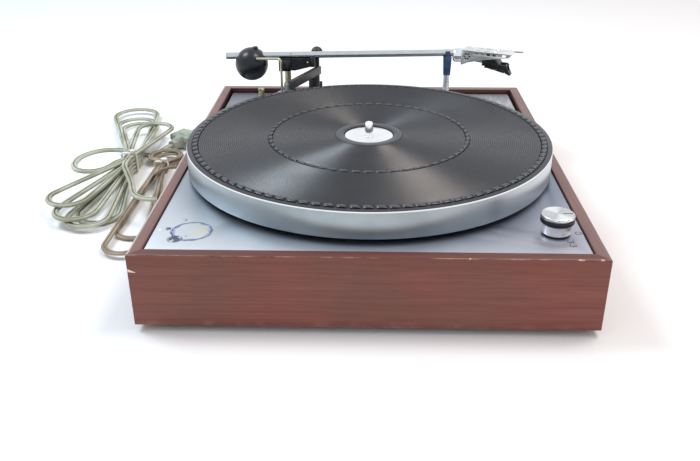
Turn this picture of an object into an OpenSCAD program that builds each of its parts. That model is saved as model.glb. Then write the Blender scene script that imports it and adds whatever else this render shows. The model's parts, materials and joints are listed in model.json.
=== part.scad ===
// Belt-driven turntable with a sprung sub-chassis and a low-mass pick-up arm.
// Millimetres, +Z up, +X to the deck's right, -Y to its front, origin on the table
// under the middle of the plinth.

/* [Plinth] */
// Width of the wooden plinth, left to right
plinth_w = 390; // [370:1:480]
// Depth of the plinth, front to back
plinth_d = 320; // [310:1:400]
// Height of the plinth's boards
board_h = 55; // [53:1:70]
// Thickness of the plinth's boards
wall_t = 9; // [6:0.5:12]
// Height of the boards' lower edge over the table
foot_gap = 5; // [3:0.5:12]
// Thickness of the base panel
base_t = 3; // [2:0.5:6]
// Side of the square corner blocks
block_s = 18; // [12:1:24]
// Diameter of the rubber feet
foot_dia = 20; // [14:1:30]
// Distance of the feet and base screws from the corners
foot_inset = 32; // [28:1:50]

/* [Top plate] */
// Thickness of the metal top plate
plate_t = 1.5; // [1:0.1:3]
// Depth of the plate's top below the plinth's top edge
plate_drop = 1.5; // [0.5:0.1:4]
// Gap round the plate
plate_gap = 0.5; // [0.2:0.1:1]
// Width of the battens that carry the plate
batten_w = 10; // [6:0.5:14]
// Height of the battens
batten_h = 12; // [6:0.5:14]

/* [Platter] */
// Radius of the platter
platter_r = 150; // [120:1:155]
// Height of the platter's rim face
rim_h = 20.7; // [16:0.1:26]
// Thickness of the platter's rim
rim_t = 8; // [4:0.5:14]
// Thickness of the platter's web
web_t = 3; // [2:0.5:6]
// Height of the rim's lower edge above the top plate
rim_lift = 3.5; // [3:0.1:6]
// Distance from the plate's right edge to the spindle
spindle_inset = 113.1; // [105:0.1:120]
// Radius of the bearing shaft
shaft_r = 5; // [4:0.1:7]
// Radius of the record spindle
spindle_r = 3.57; // [3.5:0.01:3.6]
// Height of the spindle above the mat
spindle_up = 10.5; // [8:0.5:20]
// Radius of the polished centre boss
hub_r = 20.4; // [14:0.1:28]
// Height of the centre boss
hub_h = 3; // [2:0.1:4]
// Thickness of the rubber mat
mat_t = 4; // [3.5:0.1:6]
// Thickness of the mat's lip over the rim
lip_t = 1.3; // [0.8:0.1:2]
// Width of the smooth ring in the mat's middle
mat_ring = 7; // [4:0.5:12]
// Radius of the inner platter that the belt drives
sub_r = 80; // [66:0.5:96]
// Height of the inner platter
sub_h = 15; // [12:0.5:15]

/* [Drive] */
// Distance from the spindle to the motor, as a share of the platter's radius
motor_reach = 0.7675; // [0.75:0.0005:0.78]
// Direction of the motor from the spindle, from the left towards the back, in degrees
motor_bearing = 37.45; // [30:0.05:45]
// Radius of the motor's can
motor_r = 30; // [20:0.5:32]
// Height of the motor's can
motor_h = 40; // [25:0.5:42]
// Radius of the motor's shaft
motor_shaft_r = 1.5; // [1:0.1:2.5]
// Pulley radius for 33 turns a minute
pulley_33_r = 6.47; // [5:0.01:8]
// Pulley radius for 45 turns a minute
pulley_45_r = 8.98; // [8:0.01:11]
// Height of the belt
belt_w = 4.5; // [3:0.1:6]
// Thickness of the belt
belt_t = 0.8; // [0.5:0.1:1.2]
// Clearance drawn between the belt and what it runs on
belt_gap = 0.3; // [0.2:0.05:0.4]
// Radius of the belt fork's post
fork_post_r = 2; // [1.5:0.1:3]
// Distance from the pulley to the fork along the belt
fork_run = 30; // [28:1:40]

/* [Speed knob] */
// Distance of the knob from the left board's inner face
knob_in_x = 32.7; // [31:0.1:50]
// Distance of the knob from the front board's inner face
knob_in_y = 19.4; // [17:0.1:36]
// Radius of the knob's silver skirt
skirt_r = 10.1; // [7:0.1:12]
// Height of the silver skirt
skirt_h = 7.9; // [4:0.1:10]
// Radius of the rubber grip band
band_r = 11.75; // [9:0.05:14]
// Height of the rubber grip band
band_h = 3.8; // [3:0.1:8]
// Height of the knob's cap
cap_h = 2.4; // [1.5:0.1:4]
// Height of the black ring under the knob
ring_h = 1.1; // [1:0.1:4]
// Radius of the knob's spindle
knob_pin_r = 3; // [2:0.1:4]

/* [Suspension] */
// Thickness of the sub-chassis
sub_t = 2.5; // [1.5:0.1:4]
// Height of the sub-chassis over the base panel
sub_up = 27; // [24:0.5:30]
// Radius of the hanger bolts
hanger_r = 2.5; // [2:0.1:3]
// Mean radius of the hanger springs
spring_r = 8; // [6:0.1:10]
// Radius of the spring wire
wire_r = 0.8; // [0.6:0.05:1]
// Turns of each spring
spring_turns = 5; // [4:1:7]
// Travel of the sub-chassis below its rest
bounce_down = 2; // [1:0.5:2.5]

/* [Armboard] */
// Width of the armboard
armboard_w = 91.5; // [70:0.5:95]
// Gap round the armboard
arm_gap = 2.5; // [2:0.1:5]
// Thickness of the armboard
armboard_t = 11; // [8:0.5:11]
// Thickness of the armboard's metal skin
skin_t = 1; // [0.6:0.1:2]
// Depth of the armboard's top below the plinth's top edge
arm_drop = 4.5; // [3:0.1:6]

/* [Pick-up arm] */
// Distance from the armboard's right edge to the arm
arm_inset = 18.5; // [17:0.1:24]
// Distance of the arm's pivot behind the spindle
pivot_y = 86; // [80:0.5:92]
// Height of the tube's centre above the armboard, at the pivot
arm_h = 46.4; // [46:0.1:47]
// Rise of the resting arm towards its front, in degrees
arm_tilt = 1.06; // [0.9:0.01:1.2]
// Radius of the arm tube
tube_r = 3.4; // [2.5:0.1:3.6]
// Length of the stub behind the pivot
stub_len = 63.9; // [62:0.1:70]
// Radius of the ball weight
ball_r = 17; // [14:0.5:18]
// Distance of the ball weight behind the pivot
ball_back = 37.7; // [36:0.1:39]
// Height of the weight's bore over its centre
ball_drop = 8.7; // [7:0.1:9]
// Offset angle of the headshell, in degrees
shell_angle = 23; // [18:0.5:25]
// Length of the headshell
shell_len = 52; // [46:0.5:56]
// Width of the headshell
shell_w = 18; // [16:0.5:20]
// Distance of the arm rest in front of the spindle
rest_front = 79.8; // [78:0.1:83]
// Radius of the arm rest's post
post_r = 3.4; // [3:0.1:4]
// Distance of the lift cylinder in front of the pivot
lift_front = 27.4; // [26:0.1:28]
// Radius of the lift cylinder
lift_r = 4.5; // [4:0.1:5]
// Travel of the lift
lift_travel = 5; // [3:0.5:5]

/* [Hidden] */
$fn = 64;
touch = 0.3;
run_fit = 0.05;
pad_fit = 0.1;

hx = plinth_w / 2;
hy = plinth_d / 2;
ix = hx - wall_t;
iy = hy - wall_t;
board_z = foot_gap;
top_z = board_z + board_h;
base_z = board_z + 1;
base_top = base_z + base_t;

plate_top = top_z - plate_drop;
plate_z = plate_top - plate_t;
arm_x1 = ix - arm_gap;
arm_x0 = arm_x1 - armboard_w;
plate_x0 = -ix + plate_gap;
plate_x1 = arm_x0 - arm_gap;
plate_y = iy - plate_gap;

platter_x = plate_x1 - spindle_inset;
rim_z = plate_top + rim_lift;
rim_top = rim_z + rim_h;
mat_z = rim_top + lip_t - mat_t;
web_z = mat_z - web_t;
mat_top = mat_z + mat_t;
sub_z = web_z - sub_h;
seat_r = spindle_r + 0.43;
lip_r = platter_r - 0.4;
mat_core_r = platter_r - rim_t - 0.2;

housing_wall = 4;
sub_plate_z = base_top + sub_up;
sub_plate_top = sub_plate_z + sub_t;
arm_top = top_z - arm_drop;
skin_z = arm_top - skin_t;
core_z = skin_z - armboard_t;

motor_dist = motor_reach * platter_r;
motor_x = platter_x - motor_dist * cos(motor_bearing);
motor_y = motor_dist * sin(motor_bearing);
belt_centre_sub = sub_r + belt_gap + belt_t / 2;
belt_centre_33 = pulley_33_r + belt_gap + belt_t / 2;
belt_z = rim_z + 5.2;
step_z = belt_z - 0.5;
pulley_z = plate_top + 1.6;
run_angle = -motor_bearing - asin((belt_centre_sub - belt_centre_33) / motor_dist);
nose_r = 5;
ear_reach = motor_r + 6;
ear_angle = 27;
screw_r = 1.5;
screw_head_r = 3;

knob_x = -ix + knob_in_x;
knob_y = -iy + knob_in_y;
knob_z = plate_top + ring_h;
bush_r = 5;
cam_len = 20;
cam_z = plate_z - 14;

hangers = [[platter_x - 96.4, -30], [plate_x1 - 19.5, 115], [plate_x1 - 19.5, -115]];
washer_r = spring_r + 2.5;
nut_h = 3;
washer_t = 1;
spring_z = base_top + 7;
spring_top = sub_plate_z - touch;

arm_x = arm_x1 - arm_inset;
tube_z = arm_top + arm_h;
axis_z = tube_z - 8.9;
yoke_z = arm_top + 31.2;
yoke_in = 4.9;
yoke_out = 8;
yoke_y0 = pivot_y - 3.7;
yoke_y1 = pivot_y + 8.5;
yoke_base_t = 2.5;
trunnion_r = 1.2;
shell_y = -97;
shell_top = arm_top + 54.7;
pin_r = 2;
pad_z = arm_top + 34.2;
collar_r = 7;
collar_drop = 7.6;
shell_rear_h = 15.4;
cart_z = -16.5;
guard_u = 44.8;
guard_z = -13.7;
guard_pin_r = 1;
lift_y = pivot_y - lift_front;
lever_x = arm_x + 11;
lever_y = lift_y - 2.6;
lever_z = arm_top + 10.5;
post_x = arm_x;
post_h = 26.9;
cradle_top = tube_z - tube_r + (pivot_y + rest_front) * tan(arm_tilt) - touch;

gland_z = 25;
gland_out = 22;
mains_x = -30;
signal_x = 44;
gland_r = 5;

// Flex sizes: width, then thickness
mains_w = 5.8;
mains_t = 3.2;
signal_w = 5.2;
signal_t = 2.6;

// Cords: X and Z as elsewhere, Y counted from the rear board's face

// Route of the mains lead from its strain relief to the hank
mains_lead_path = [
    [-30, 22, 25], [-30, 29, 25], [-25, 39, 24], [-13, 48, 22], [2, 54, 20],
    [17, 59, 19], [31, 65, 19], [44, 71, 20], [54, 75.6, 20.7], [64, 77.6, 20.7],
    [71, 77.6, 20.7]];
// Route of the mains lead from the hank, round a loose curl, to the plug
mains_tail_path = [
    [105, 77.6, 1.7], [111, 77.6, 1.7], [118, 80, 1.7], [122, 87, 1.7], [121, 96, 1.7],
    [114, 103, 1.7], [103, 107, 1.7], [93, 113, 1.7], [88, 124, 1.7], [91, 136, 1.7],
    [101, 144, 1.7], [115, 147, 1.7], [129, 145, 1.7], [141, 137, 1.7], [148, 125, 1.7],
    [149, 111, 1.7], [145, 98, 1.7], [139, 87, 1.7], [135, 77.5, 1.7], [134.2, 70, 2.2],
    [136.5, 62.2, 5.2], [141.8, 56, 8], [147, 53, 8]];
// Route of the signal lead from its strain relief to the hank
signal_lead_path = [
    [44, 22, 25], [44, 28, 25], [45, 36, 22], [49, 43, 17], [56, 46.9, 12.5],
    [64, 46.9, 11.1], [73, 46.9, 11.1]];
// Route of the signal lead from the hank to its plugs
signal_tail_path = [
    [107, 46.9, 1.5], [113, 46.9, 1.5], [121, 44, 1.5], [127, 38, 1.5], [130, 30, 1.5],
    [129, 21, 2.5], [124, 15, 4], [116, 12, 4.5], [109, 12, 4.5]];

// Each hank: its waist, half the distance of its two strands, the reach of the waist's
// straight, the strand's size, the first loop's height and the step down to the next one.
mains_waist = [88, 81];
mains_half = 3.4;
mains_step = 3.8;
// Each loop: reach, direction and radius of its far end, then the same of its near end
mains_loops = [
    [86, -3, 18, 96, -18, 18], [98, 9, 18, 112, -9, 18],
    [124, 12, 20, 116, -3, 18], [168, 13, 24, 102, 0, 18]];
signal_waist = [90, 50];
signal_half = 3.1;
signal_step = 3.2;
signal_loops = [[27, 4, 15.6, 166, 3, 16], [25, -3, 15.6, 134, 4, 16]];
waist_run = 11;
waist_end = 17;
// Fall of the loops' near ends, for each millimetre from the waist
mains_fall = 0.028;
signal_fall = 0.018;
loop_floor_mains = mains_t / 2 + 0.1;
loop_floor_signal = signal_t / 2 + 0.2;

plug_at = [147, 53, 8];
plug_turn = -30;
phono_at = [109, 12, 4.5];

// Cord geometry

// A flat strand's outline, level across its width
function outline(w, t, sides) = sides == 6
    ? [[w / 2, 0], [w / 4, t / 2], [-w / 4, t / 2], [-w / 2, 0], [-w / 4, -t / 2], [w / 4, -t / 2]]
    : [for (k = [0 : sides - 1]) let (a = (k + 0.5) * 360 / sides, c = cos(180 / sides))
        [w / 2 * cos(a) / c, t / 2 * sin(a) / c]];

function unit(v) = v / norm(v);

// Direction of a route at one of its points, as the mean of the two runs that meet there
function heading(p, i) = let (n = len(p) - 1)
    i == 0 ? unit(p[1] - p[0])
    : i == n ? unit(p[n] - p[n - 1])
    : unit(unit(p[i] - p[i - 1]) + unit(p[i + 1] - p[i]));

function ring_at(p, i, shape) = let (
    d = heading(p, i),
    side = unit(cross([0, 0, 1], d)),
    up = cross(d, side))
    [for (q = shape) p[i] + side * q[0] + up * q[1]];

// One unbroken tube along a route
module strand(path, w, t, sides) {
    n = len(path);
    shape = outline(w, t, sides);
    pts = [for (i = [0 : n - 1]) each ring_at(path, i, shape)];
    walls = [for (i = [0 : n - 2], k = [0 : sides - 1])
        let (a = i * sides + k, b = i * sides + (k + 1) % sides)
        each [[a, a + sides, b], [b, a + sides, b + sides]]];
    first = [for (k = [1 : sides - 2]) [0, k, k + 1]];
    e = (n - 1) * sides;
    last = [for (k = [1 : sides - 2]) [e, e + k + 1, e + k]];
    polyhedron(pts, concat(walls, first, last));
}

// Height of a loop at a place: level past the waist, falling evenly on the near side, so
// that crossing loops keep their distance
function loop_z(x, z, fall) = z - max(0, -x - waist_run) * fall;

// The round end of a loop: from one strand, round the end circle and back
function loop_end(reach, turn, r, half) = let (a = asin((r - half) / reach))
    [for (k = [0 : 8]) let (b = turn - 90 - a + k * (180 + 2 * a) / 8)
        [reach * cos(turn) + r * cos(b), reach * sin(turn) + r * sin(b)]];

function flat_loop(l, half) = concat(
    [[0, -half], [waist_run, -half]],
    loop_end(l[0], l[1], l[2], half),
    [[waist_run, half], [0, half], [-waist_run, half]],
    [for (q = loop_end(l[3], l[4], l[5], half)) -q],
    [[-waist_run, -half]]);

// A whole hank: every loop lies one step below the last, and goes down at the waist
function hank_path(waist, half, loops, floor_z, step, fall) = let (n = len(loops))
    concat(
        [for (x = [-waist_end, -waist_run]) [waist[0] + x, waist[1] - half, floor_z + step * (n + 1)]],
        [for (i = [0 : n - 1]) let (z = floor_z + step * (n - i), l = flat_loop(loops[i], half))
            each [for (k = [0 : len(l) - 1])
                [waist[0] + l[k][0], waist[1] + l[k][1],
                    k == 0 ? z + step / 2 : loop_z(l[k][0], z, fall)]]],
        [[waist[0], waist[1] - half, floor_z + step / 2]],
        [for (x = [waist_run, waist_end]) [waist[0] + x, waist[1] - half, floor_z]]);

// Points a few millimetres apart along a route, each with its distance from the start
function walked(p, i = 0, s = 0) = i >= len(p) - 1 ? [] : let (
    run = p[i + 1] - p[i],
    d = norm(run),
    n = ceil(d / 3))
    concat([for (k = [0 : n - 1]) [p[i] + run * k / n, s + d * k / n]], walked(p, i + 1, s + d));

// Distance from the start of a route to each of its points
function marks(p) = [for (i = 0, s = 0; i < len(p); i = i + 1, s = i < len(p) ? s + norm(p[i] - p[i - 1]) : s) s];

// Least gap of a flat strand to itself: from each point straight across to each run that
// lies abreast of it, over the strand's thickness or its width there
function least_gap(p, w, t) = let (q = walked(p), s = marks(p))
    min([for (a = q, k = [0 : len(p) - 2])
        if (a[1] < s[k] - 30 || a[1] > s[k + 1] + 30)
            let (run = p[k + 1] - p[k], d = run / norm(run), along = (a[0] - p[k]) * d)
            if (along >= 0 && along <= norm(run))
                let (
                    v = a[0] - p[k] - d * along,
                    h = abs(v * unit(cross(d, cross([0, 0, 1], d)))))
                max(h - t, sqrt(max(0, v * v - h * h)) - w)]);

function route_len(p) = len(p) < 2 ? 0
    : [for (i = 0, s = 0; i < len(p); s = s + (i > 0 ? norm(p[i] - p[i - 1]) : 0), i = i + 1) s][len(p) - 1]
        + norm(p[len(p) - 1] - p[len(p) - 2]);

mains_path = hank_path(mains_waist, mains_half, mains_loops, loop_floor_mains, mains_step, mains_fall);
signal_path = hank_path(signal_waist, signal_half, signal_loops, loop_floor_signal, signal_step,
    signal_fall);

module spring() {
    rise = spring_top - spring_z - 2 * wire_r;
    steps = 8 * spring_turns;
    path = [for (k = [0 : steps]) let (a = 360 * k / 8)
        [spring_r * cos(a), spring_r * sin(a), spring_z + wire_r + rise * k / steps]];
    strand(path, 2 * wire_r, 2 * wire_r, 6);
}

// Shared shapes

// A hollow tube along Z
module pipe(r_out, r_in, h) {
    difference() {
        cylinder(r = r_out, h = h);
        translate([0, 0, -1]) cylinder(r = r_in, h = h + 2);
    }
}

// A rod along X, centred
module rod_x(r, x0, x1) {
    translate([x0, 0, 0]) rotate([0, 90, 0]) cylinder(r = r, h = x1 - x0);
}

// A rod along Y
module rod_y(r, y0, y1) {
    translate([0, y1, 0]) rotate([90, 0, 0]) cylinder(r = r, h = y1 - y0);
}

// A box from one corner to the other
module block(a, b) {
    translate(a) cube(b - a);
}

module at_arm() {
    translate([arm_x, pivot_y, tube_z]) rotate([-arm_tilt, 0, 0]) children();
}

module at_shell() {
    translate([arm_x, shell_y, shell_top]) rotate([0, 0, -shell_angle]) children();
}

module at_hangers() {
    for (p = hangers) translate([p[0], p[1], 0]) children();
}

module at_feet() {
    for (sx = [-1, 1], sy = [-1, 1])
        translate([sx * (hx - foot_inset), sy * (hy - foot_inset), 0]) children();
}

module at_corner_screws() {
    for (sx = [-1, 1], sy = [-1, 1])
        translate([sx * (ix - block_s / 2), sy * (iy - block_s / 2), 0]) children();
}

// The two places of the motor's fixing screws
module at_motor_screws() {
    translate([motor_x, motor_y, 0]) rotate([0, 0, ear_angle])
        for (s = [-1, 1]) translate([s * ear_reach, 0, 0]) children();
}

// The place of the belt's straight run beside the pulley: X along the run
module at_run() {
    translate([motor_x, motor_y, 0]) rotate([0, 0, run_angle]) children();
}

// Plinth

module mitred_board(length, depth, thick) {
    translate([0, 0, board_z]) linear_extrude(board_h)
        polygon([[-length / 2, -depth], [length / 2, -depth],
            [length / 2 - thick, -depth + thick], [-length / 2 + thick, -depth + thick]]);
}

module side_board_left() {
    color("#7a5045") rotate([0, 0, -90]) mitred_board(plinth_d, hx, wall_t);
}

module side_board_right() {
    color("#7a5045") rotate([0, 0, 90]) mitred_board(plinth_d, hx, wall_t);
}

module front_board() {
    color("#7a5045") mitred_board(plinth_w, hy, wall_t);
}

module rear_board() {
    color("#7a5045") difference() {
        rotate([0, 0, 180]) mitred_board(plinth_w, hy, wall_t);
        for (x = [mains_x, signal_x])
            translate([x, 0, gland_z]) rod_y(gland_r + run_fit, iy - 1, hy + 1);
    }
}

module frame_blocks() {
    color("#b08a60") difference() {
        union() {
            for (sy = [-1, 1]) {
                translate([-ix, sy > 0 ? iy - block_s : -iy, base_top])
                    cube([block_s, block_s, plate_z - base_top]);
                translate([ix - block_s, sy > 0 ? iy - block_s : -iy, base_top])
                    cube([block_s, block_s, sub_up - 3]);
                translate([-ix + block_s, sy > 0 ? iy - batten_w : -iy, plate_z - batten_h])
                    cube([plate_x1 - 1.5 + ix - block_s, batten_w, batten_h]);
            }
        }
        at_corner_screws() translate([0, 0, base_top - 1]) cylinder(r = screw_r, h = 13);
    }
}

module base_panel() {
    color("#8a6a48") difference() {
        block([-ix + plate_gap, -iy + plate_gap, base_z], [ix - plate_gap, iy - plate_gap, base_top]);
        at_corner_screws() translate([0, 0, base_z - 1]) cylinder(r = screw_r, h = base_t + 2);
    }
}

module plinth_screws() {
    color("silver") {
        at_corner_screws() {
            translate([0, 0, base_z]) cylinder(r = screw_r, h = base_t + 12);
            translate([0, 0, base_z - 0.8]) cylinder(r = screw_head_r, h = 0.8);
        }
        at_motor_screws() {
            translate([0, 0, plate_z - 5]) cylinder(r = screw_r, h = 5 + plate_t);
            translate([0, 0, plate_top]) cylinder(r = screw_head_r, h = 1.4);
        }
    }
}

module feet() {
    color("#222222") at_feet() cylinder(d = foot_dia, h = base_z);
}

module top_plate() {
    color("#c4c8ca") difference() {
        block([plate_x0, -plate_y, plate_z], [plate_x1, plate_y, plate_top]);
        translate([platter_x, 0, plate_z - 1]) cylinder(r = 18, h = plate_t + 2);
        translate([motor_x, motor_y, plate_z - 1]) cylinder(r = nose_r + 0.5, h = plate_t + 2);
        translate([knob_x, knob_y, plate_z - 1]) cylinder(r = bush_r, h = plate_t + 2);
        at_run() translate([fork_run, -belt_centre_33 - 16, plate_z - 1])
            cylinder(r = fork_post_r + 2, h = plate_t + 2);
        at_hangers() translate([0, 0, plate_z - 1]) cylinder(r = hanger_r, h = plate_t + 2);
        at_motor_screws() translate([0, 0, plate_z - 1]) cylinder(r = screw_r, h = plate_t + 2);
    }
}

module motor() {
    color("#9a9c9c") difference() {
        union() {
            translate([motor_x, motor_y, plate_z - motor_h]) cylinder(r = motor_r, h = motor_h);
            translate([motor_x, motor_y, plate_z - 1]) cylinder(r = nose_r, h = plate_t + 2);
            translate([motor_x, motor_y, plate_z - 3]) rotate([0, 0, ear_angle])
                translate([-ear_reach, -6, 0]) cube([2 * ear_reach, 12, 3]);
            at_motor_screws() translate([0, 0, plate_z - 3]) cylinder(r = 6, h = 3);
        }
        translate([motor_x, motor_y, plate_z - 20]) cylinder(r = motor_shaft_r + run_fit, h = 30);
        at_motor_screws() translate([0, 0, plate_z - 6]) cylinder(r = screw_r, h = 7);
    }
}

module belt_outline(grow) {
    hull() {
        translate([motor_x, motor_y]) circle(r = pulley_33_r + grow, $fn = 48);
        translate([platter_x, 0]) circle(r = sub_r + grow, $fn = 120);
    }
}

module drive_belt() {
    color("#1c1c1c") translate([0, 0, belt_z]) linear_extrude(belt_w) difference() {
        belt_outline(belt_gap + belt_t);
        belt_outline(belt_gap);
    }
}

module plate_bushes() {
    color("#26282a") {
        translate([knob_x, knob_y, 0]) {
            translate([0, 0, plate_z - 7]) pipe(bush_r, knob_pin_r + run_fit, 7 + plate_t);
            translate([0, 0, plate_top]) pipe(skirt_r - 0.9, knob_pin_r + run_fit, ring_h - pad_fit);
            translate([0, 0, plate_z - 3]) pipe(bush_r + 2, bush_r - 0.5, 3);
        }
        at_run() translate([fork_run, -belt_centre_33 - 16, plate_z - 5])
            pipe(fork_post_r + 2, fork_post_r + run_fit, 5 + plate_t);
    }
}

module hanger_bolts() {
    color("silver") at_hangers() {
        translate([0, 0, base_top + 3]) cylinder(r = hanger_r, h = plate_top - base_top - 3);
        translate([0, 0, plate_top]) cylinder(r = hanger_r + 2.5, h = 0.7);
        translate([0, 0, spring_z - washer_t]) pipe(washer_r, hanger_r, washer_t);
        translate([0, 0, spring_z - washer_t - nut_h]) difference() {
            cylinder(r = 5, h = nut_h, $fn = 6);
            translate([0, 0, -1]) cylinder(r = hanger_r, h = nut_h + 2);
        }
    }
}

module hanger_springs() {
    color("#8c8f92") at_hangers() spring();
}

module power_switch() {
    color("#efefea") translate([knob_x - 8, knob_y + cam_len + 3, plate_z - 16]) {
        cube([16, 8, 16]);
        translate([-5, 2, 12]) cube([26, 4, 4]);
    }
}

// Drive

module motor_pulley() {
    color("#c9b27a") translate([motor_x, motor_y, 0]) {
        translate([0, 0, plate_z - 19]) cylinder(r = motor_shaft_r, h = 19 + plate_t + 3);
        translate([0, 0, plate_top + 1]) cylinder(r = 3, h = 0.8);
        translate([0, 0, pulley_z]) cylinder(r = pulley_45_r + 1.6, h = 0.8);
        translate([0, 0, pulley_z + 0.6]) cylinder(r = pulley_45_r, h = step_z - pulley_z - 0.6);
        translate([0, 0, step_z]) cylinder(r = pulley_33_r, h = belt_w + 1.3);
        translate([0, 0, step_z + belt_w + 1]) cylinder(r = pulley_33_r + 1.4, h = 0.9);
    }
}

module belt_fork() {
    color("#3a3d40") at_run() {
        translate([fork_run, -belt_centre_33 - 16, plate_z - 10])
            cylinder(r = fork_post_r, h = 10 + plate_t + 5.8);
        translate([fork_run - 2.5, -belt_centre_33 - 18.5, plate_top + 3.6]) cube([5, 22.5, 2.2]);
        for (s = [-1, 1])
            translate([fork_run, -belt_centre_33 + s * 2.2, plate_top + 5])
                cylinder(r = 1.2, h = 8.3);
    }
}

module knob_skirt() {
    color("#cfd2d4") translate([knob_x, knob_y, 0]) {
        translate([0, 0, knob_z]) cylinder(r = skirt_r, h = skirt_h);
        translate([0, 0, cam_z]) cylinder(r = knob_pin_r, h = knob_z - cam_z + 1);
        translate([0, 0, cam_z]) cylinder(r = knob_pin_r + 2, h = 2.5);
        translate([-2, 0, cam_z]) cube([4, cam_len, 2.5]);
    }
}

module knob_band() {
    color("#1a1b1c") translate([knob_x, knob_y, knob_z + skirt_h]) cylinder(r = band_r, h = band_h);
}

module knob_cap() {
    chamfer = 0.8;
    color("#d4d7d9") translate([knob_x, knob_y, knob_z + skirt_h + band_h]) difference() {
        union() {
            cylinder(r = band_r - 0.15, h = cap_h - chamfer);
            translate([0, 0, cap_h - chamfer])
                cylinder(r1 = band_r - 0.15, r2 = band_r - 0.15 - chamfer, h = chamfer);
        }
        translate([-0.5, -band_r + 1.5, cap_h - 0.3]) cube([1, band_r - 3, 1]);
    }
}

// Suspended parts

module chassis_arm(p, width) {
    d = [p[0] - platter_x, p[1]];
    translate([platter_x, 0, sub_plate_z]) rotate([0, 0, atan2(d[1], d[0])])
        translate([0, -width / 2, 0]) cube([norm(d), width, sub_t]);
}

module subchassis() {
    color("#b9bcbe") difference() {
        union() {
            translate([platter_x, 0, sub_plate_z]) cylinder(r = 38, h = sub_t);
            for (p = hangers) {
                chassis_arm(p, 26);
                translate([p[0], p[1], sub_plate_z]) cylinder(r = 14, h = sub_t);
            }
            block([platter_x, -34, sub_plate_z], [arm_x0, 34, sub_plate_top]);
            block([arm_x0 - 10, -70, sub_plate_z], [arm_x1 - 5, 70, sub_plate_top]);
        }
        translate([platter_x, 0, sub_plate_z - 1]) cylinder(r = shaft_r + housing_wall, h = sub_t + 2);
        at_hangers() translate([0, 0, sub_plate_z - 1]) cylinder(r = hanger_r + 2, h = sub_t + 2);
    }
}

module bearing_housing() {
    floor_z = base_top + 13;
    top = plate_z - 1;
    color("#a9acae") translate([platter_x, 0, 0]) difference() {
        union() {
            translate([0, 0, floor_z]) cylinder(r = shaft_r + housing_wall, h = top - floor_z);
            translate([0, 0, sub_plate_top]) cylinder(r = 20, h = 3);
            translate([0, 0, sub_plate_top]) cylinder(r = shaft_r + housing_wall + 2, h = top - sub_plate_top);
        }
        translate([0, 0, floor_z + housing_wall]) cylinder(r = shaft_r + run_fit, h = top);
    }
}

module armboard() {
    color("#5d4a40") {
        block([arm_x0, -iy + arm_gap, core_z], [arm_x1, iy - arm_gap, skin_z]);
        for (x = [arm_x0 + 13, arm_x1 - 12], y = [-60, 60])
            translate([x, y, sub_plate_top]) cylinder(r = 6, h = core_z - sub_plate_top + 1);
    }
}

module armboard_skin() {
    color("#b4b8ba") block([arm_x0, -iy + arm_gap, skin_z], [arm_x1, iy - arm_gap, arm_top]);
}

module arm_base() {
    color("#b7babb") translate([arm_x, pivot_y, arm_top]) difference() {
        union() {
            cylinder(r = 16, h = 2.5);
            translate([0, 0, 2.5]) cylinder(r1 = 16, r2 = 12.5, h = 3.5);
            translate([0, 0, 6]) cylinder(r = 4.75, h = 10.8);
        }
        translate([0, 0, 4]) cylinder(r = post_r, h = 20);
    }
}

module arm_pillar() {
    color("#b9a878") translate([arm_x, pivot_y, arm_top + 4]) {
        cylinder(r = post_r, h = yoke_z - arm_top - 4 - pad_fit);
        cylinder(r = pin_r, h = yoke_z - arm_top - 4 + yoke_base_t - 0.3);
    }
}

module bias_rod() {
    rod_r = 1.2;
    bend = 4;
    x = arm_x - 17;
    y = pivot_y + 5;
    z = tube_z + 0.3;
    color("#c2b48c") {
        translate([x, y, arm_top]) cylinder(r = rod_r, h = z - bend - arm_top);
        translate([x, y + bend, z - bend]) rotate([90, 0, -90])
            rotate_extrude(angle = 90) translate([bend, 0]) circle(r = rod_r);
        translate([x, 0, z]) rod_y(rod_r, y + bend, y + 30);
    }
}

module brass_post() {
    color("#a8935a") translate([arm_x + 6, pivot_y + 30, arm_top]) {
        cylinder(r = post_r, h = 8);
        translate([0, 0, 8]) cylinder(r1 = post_r, r2 = post_r - 0.8, h = 1);
    }
}

module rest_post() {
    color("#c9cccf") translate([post_x, -rest_front, arm_top]) cylinder(r = post_r, h = post_h);
}

module rest_cradle() {
    z0 = arm_top + post_h;
    color("#2c4668") translate([post_x - 4.6, -rest_front, 0]) rotate([90, 0, 90])
        linear_extrude(9.2) polygon([[-3.45, z0], [3.45, z0], [4.15, z0 + 15], [4.15, cradle_top],
            [-4.15, cradle_top], [-4.15, z0 + 15]]);
}

module rest_clip() {
    color("#2c4668") for (s = [-1, 1])
        translate([post_x + s * (tube_r + 0.75), -rest_front, cradle_top])
            translate([-0.45, -2.5, 0]) cube([0.9, 5, 6.3]);
}

module lift_cylinder() {
    cheek = 1.6;
    gap = 2.7;
    color("#2a2c2e") {
        translate([arm_x, lift_y, arm_top]) cylinder(r = lift_r, h = 18.2);
        translate([arm_x, lift_y, arm_top]) cylinder(r = 7, h = 2.5);
        block([arm_x, lever_y - 5, arm_top], [lever_x + gap + cheek, lever_y + 5, arm_top + 2.5]);
        for (x = [lever_x - gap - cheek, lever_x + gap])
            difference() {
                block([x, lever_y - 5, arm_top], [x + cheek, lever_y + 5, lever_z + 4]);
                translate([0, lever_y, lever_z]) rod_x(1.5, x - 1, x + cheek + 1);
            }
        translate([0, lever_y, lever_z])
            rod_x(1.5, lever_x - gap - cheek, lever_x + gap + cheek);
    }
}

// Platter

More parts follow.
